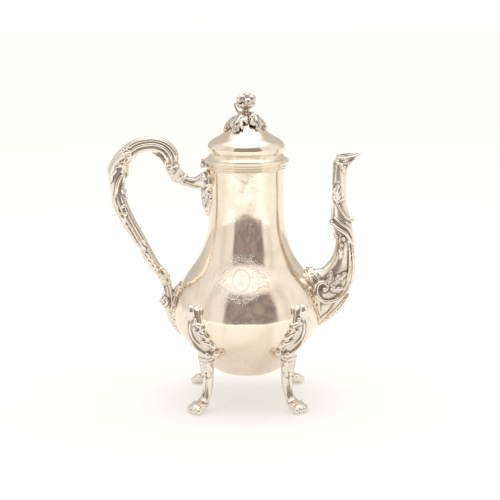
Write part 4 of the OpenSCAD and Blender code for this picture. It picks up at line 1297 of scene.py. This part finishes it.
def new_material(name):
    material = bpy.data.materials.new(name)
    material.use_nodes = True
    t = Tree(material.node_tree)
    return material, t, material.node_tree.nodes["Principled BSDF"]


def group_node(t, group, **values):
    node = t.add("ShaderNodeGroup", node_tree=group)
    for key, value in values.items():
        t.put(node.inputs[key], value)
    return node


def silver(name, bright, toned, toning, roughness, scratch=0.6, planish=0.35, pits=0.4,
           relief=False, bump=0.0006):
    """Silver with an uneven film; relief also darkens what the polishing cloth can't reach."""
    material, t, shader = new_material(name)
    film = group_node(t, OLD_SILVER, Bright=(*bright, 1), Toned=(*toned, 1), Toning=toning)
    marks = group_node(t, POLISH_MARKS, Scratch=scratch, Planish=planish, Pits=pits)
    colour = t.blend(marks.outputs["Pit mask"], film.outputs["Color"], (0.16, 0.11, 0.08, 1))
    rough = t.math("ADD", roughness, t.math("MULTIPLY", film.outputs["Dullness"], 0.16))
    rough = t.math("ADD", rough, t.math("MULTIPLY", marks.outputs["Hairlines"], 0.16))
    if relief:
        hollow = t.add("ShaderNodeAttribute", attribute_name="recess").outputs["Fac"]
        grime = t.noise(t.add("ShaderNodeTexCoord").outputs["Object"], 260.0, 3.0)
        level = t.math("ADD", hollow, t.math("MULTIPLY", t.math("SUBTRACT", grime, 0.5), 0.16))
        deep = t.math("MULTIPLY", t.ramp(level, 0.52, 1.0), 0.72)
        worn = t.math("SUBTRACT", 1.0, t.ramp(level, 0.2, 0.46))
        colour = t.blend(deep, colour, (0.17, 0.13, 0.10, 1))
        colour = t.blend(t.math("MULTIPLY", worn, 0.5), colour, (0.92, 0.86, 0.77, 1))
        rough = t.math("ADD", rough, t.math("MULTIPLY", deep, 0.24), clamp=True)
        rough = t.math("SUBTRACT", rough, t.math("MULTIPLY", worn, 0.05), clamp=True)
    t.put(shader.inputs["Base Color"], colour)
    t.put(shader.inputs["Roughness"], rough)
    shader.inputs["Metallic"].default_value = 1.0
    bumps = t.add("ShaderNodeBump", Strength=1.0, Distance=bump)
    t.put(bumps.inputs["Height"], marks.outputs["Height"])
    t.put(shader.inputs["Normal"], bumps.outputs["Normal"])
    return material


def old_ivory():
    """Cream turned ivory: faint grain, and darker clouds here and there."""
    material, t, shader = new_material("old ivory")
    place = t.add("ShaderNodeTexCoord").outputs["Object"]
    grain = t.noise(t.stretched(place, (1900, 1900, 240)), 1.0, 4.0, 1.3)
    cloud = t.noise(place, 190.0, 3.0)
    colour = t.blend(t.ramp(grain, 0.36, 0.7), (0.97, 0.90, 0.74, 1), (0.99, 0.95, 0.84, 1))
    colour = t.blend(t.math("MULTIPLY", t.ramp(cloud, 0.52, 0.8), 0.3), colour, (0.88, 0.74, 0.52, 1))
    t.put(shader.inputs["Base Color"], colour)
    t.put(shader.inputs["Roughness"], t.math("ADD", 0.26, t.math("MULTIPLY", grain, 0.16)))
    shader.inputs["Subsurface Weight"].default_value = 0.06
    shader.inputs["Subsurface Radius"].default_value = (0.0022, 0.0014, 0.0008)
    bumps = t.add("ShaderNodeBump", Strength=0.35, Distance=0.0002)
    t.put(bumps.inputs["Height"], grain)
    t.put(shader.inputs["Normal"], bumps.outputs["Normal"])
    return material


def glowing_table_top():
    """Matt white table with the faintest tooth. It glows: painted light that lifts the shadow under the
    pot and brightens the front, where the belly reflects it.
    """
    material, t, shader = new_material("white table painted glow")
    place = t.add("ShaderNodeTexCoord").outputs["Object"]
    tooth = t.noise(place, 900.0, 3.0)
    t.put(shader.inputs["Base Color"], t.blend(tooth, (0.56, 0.55, 0.53, 1), (0.60, 0.59, 0.57, 1)))
    # Painted light: the table glows like a lamp, which lifts the shadow under the pot.
    shader.inputs["Emission Color"].default_value = (1.0, 0.985, 0.95, 1)
    ends = t.add("ShaderNodeSeparateXYZ")
    t.put(ends.inputs[0], place)
    # Painted reflection: the glow grows towards the front, the part of the table that the belly
    # reflects.
    painted_front_glow = t.ramp(t.math("MULTIPLY", ends.outputs[1], -1.0), 0.35, 1.0)
    t.put(shader.inputs["Emission Strength"], t.math("ADD", 0.44, t.math("MULTIPLY", painted_front_glow, 0.4)))
    shader.inputs["Roughness"].default_value = 0.8
    shader.inputs["Specular IOR Level"].default_value = 0.2
    return material


def make_world():
    """White room light, with the dark opening of the room in front that polished silver shows."""
    world = bpy.data.worlds.new("white room")
    bpy.context.scene.world = world
    world.use_nodes = True
    t = Tree(world.node_tree)
    way = t.add("ShaderNodeSeparateXYZ")
    toward = t.add("ShaderNodeTexCoord").outputs["Generated"]
    t.put(way.inputs[0], toward)
    x, y, z = way.outputs
    azimuth = t.math("MULTIPLY", t.math("ARCTAN2", x, t.math("MULTIPLY", y, -1.0)), 180 / math.pi)
    height = t.math("MULTIPLY", t.math("ARCSINE", z), 180 / math.pi)
    wobble = t.math("MULTIPLY", t.math("SUBTRACT", t.noise(toward, 3.0, 2.0), 0.5), 7.0)
    azimuth = t.math("ADD", azimuth, wobble)
    opening = t.math("MULTIPLY", t.ramp(azimuth, -40.0, -34.0),
                     t.math("SUBTRACT", 1.0, t.ramp(azimuth, 44.0, 54.0)))
    opening = t.math("MULTIPLY", opening, t.math("SUBTRACT", 1.0, t.ramp(height, 40.0, 48.0)))
    strips = t.math("ABSOLUTE", t.math("SUBTRACT", t.math("ABSOLUTE", azimuth), 68.0))
    strip = t.math("MULTIPLY", t.math("SUBTRACT", 1.0, t.ramp(strips, 1.0, 12.0)), 0.24)
    side = t.ramp(azimuth, -70.0, 70.0)
    wall = t.blend(side, (0.95, 0.925, 0.885, 1), (1.03, 1.0, 0.955, 1))
    back = t.ramp(t.math("ABSOLUTE", azimuth), 95.0, 150.0)
    wall = t.blend(back, wall, (0.66, 0.63, 0.59, 1))
    wall = t.blend(strip, wall, (0.40, 0.36, 0.33, 1))
    mottle = t.ramp(t.noise(toward, 5.0, 3.0, 0.8), 0.35, 0.65)
    dark = t.blend(mottle, (0.26, 0.235, 0.235, 1), (0.46, 0.40, 0.36, 1))
    room = t.blend(opening, wall, dark)
    room = t.blend(t.ramp(height, 42.0, 58.0), room, (1.32, 1.31, 1.30, 1))
    seen = t.blend(t.add("ShaderNodeLightPath").outputs["Is Camera Ray"], room, (1.0, 1.0, 0.995, 1))
    t.put(world.node_tree.nodes["Background"].inputs["Color"], seen)


TABLE_FRONT = -1.4     # where the table ends, which the belly and neck show


def make_stage():
    """The white table, and one broad soft light over it."""
    mesh = bpy.data.meshes.new("table")
    corners = [(-3.5, TABLE_FRONT, 0), (3.5, TABLE_FRONT, 0), (3.5, 9.0, 0), (-3.5, 9.0, 0)]
    mesh.from_pydata(corners, [], [(0, 1, 2, 3)])
    table = bpy.data.objects.new("table", mesh)
    bpy.context.scene.collection.objects.link(table)
    mesh.materials.append(glowing_table_top())
    light = bpy.data.lights.new("overhead", "AREA")
    light.shape = "DISK"
    light.size = 1.5
    light.energy = 5.0
    light.color = (1.0, 0.985, 0.96)
    lamp = bpy.data.objects.new("overhead", light)
    lamp.location = (0.1, 0.2, 1.7)
    bpy.context.scene.collection.objects.link(lamp)


def make_camera():
    lens = bpy.data.cameras.new("camera")
    lens.lens = 94.464
    lens.sensor_width = 36.0
    camera = bpy.data.objects.new("camera", lens)
    place = Matrix.Translation((0.0027, -1.078, 0.346))
    tilt = Matrix.Rotation(math.radians(78.6), 4, "X")
    roll = Matrix.Rotation(math.radians(-0.35), 4, "Z")
    camera.matrix_world = place @ tilt @ roll
    bpy.context.scene.collection.objects.link(camera)
    bpy.context.scene.camera = camera


# ---- The whole pot ---------------------------------------------------------------------------

BRIGHT = (0.92, 0.82, 0.69)
TONED = (0.66, 0.52, 0.39)
sheet = silver("raised silver sheet", BRIGHT, TONED, 0.42, 0.085)
turned_silver = silver("turned silver mouldings", BRIGHT, TONED, 0.34, 0.075, planish=0.12, pits=0.2)
chased = silver("chased cast silver", (0.82, 0.75, 0.655), (0.50, 0.42, 0.34), 0.55, 0.15, planish=0.5,
                pits=0.5, relief=True, bump=0.0004)
dark_chased = silver("darkened cast silver", (0.62, 0.56, 0.49), (0.36, 0.30, 0.25), 0.6, 0.18,
                     planish=0.5, pits=0.4, relief=True, bump=0.0004)
fittings = silver("hinge and rivet silver", (0.82, 0.74, 0.62), (0.5, 0.4, 0.3), 0.6, 0.2, planish=0.2)
bright_cut = silver("bright cut engraving", (0.90, 0.86, 0.79), (0.72, 0.64, 0.54), 0.4, 0.5,
                    planish=0.1, pits=0.0)
ivory = old_ivory()


def place(piece, body, slot, material, *stands_for):
    piece.data.materials.clear()
    piece.data.materials.append(material)
    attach(piece, body)
    for node in stands_for:
        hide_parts(node)


place(make_body(), "pot", "silver_sheet", sheet, "body_shell")
place(make_collar(), "pot", "silver_sheet", turned_silver, "neck_collar")
place(make_lid_rim(), "lid", "silver_sheet", turned_silver, "lid_rim")
place(make_lid_bezel(), "lid", "silver_sheet", turned_silver, "lid_bezel")
place(make_dome(), "lid", "silver_sheet", sheet, "lid_dome")
spout = make_spout()
mark_recesses(spout)
place(spout, "pot", "silver_cast", chased, "spout")
for corner, leg in make_legs().items():
    place(leg, "pot", "silver_cast", chased, "leg_" + corner)
for piece, node in ((make_grip(), "handle_grip"), (make_socket_upper(), "handle_socket_upper"),
                    (make_socket_lower(), "handle_socket_lower")):
    place(piece, "pot", "silver_cast", chased, node)
place(make_insulator("ivory_ring_upper", UPPER, UPPER_DIR, RING_UPPER_D), "pot", "ivory", ivory,
      "handle_insulator_upper")
place(make_insulator("ivory_ring_lower", LOWER, LOWER_DIR, RING_LOWER_D), "pot", "ivory", ivory,
      "handle_insulator_lower")
place(make_finial_leaves(), "lid", "silver_cast", dark_chased, "finial_leaves")
place(make_finial_stem(), "lid", "silver_cast", dark_chased, "finial_stem")
place(make_finial_buds(), "lid", "silver_cast", dark_chased, "finial_buds")
place(make_cartouche(), "pot", "silver_sheet", bright_cut)

for node in ("hinge_knuckles_body", "hinge_knuckle_lid", "hinge_pin", "handle_rivets", "finial_nut"):
    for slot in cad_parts[node].material_slots:
        slot.material = fittings

make_world()
make_stage()
make_camera()
bpy.context.scene.view_settings.view_transform = "Standard"
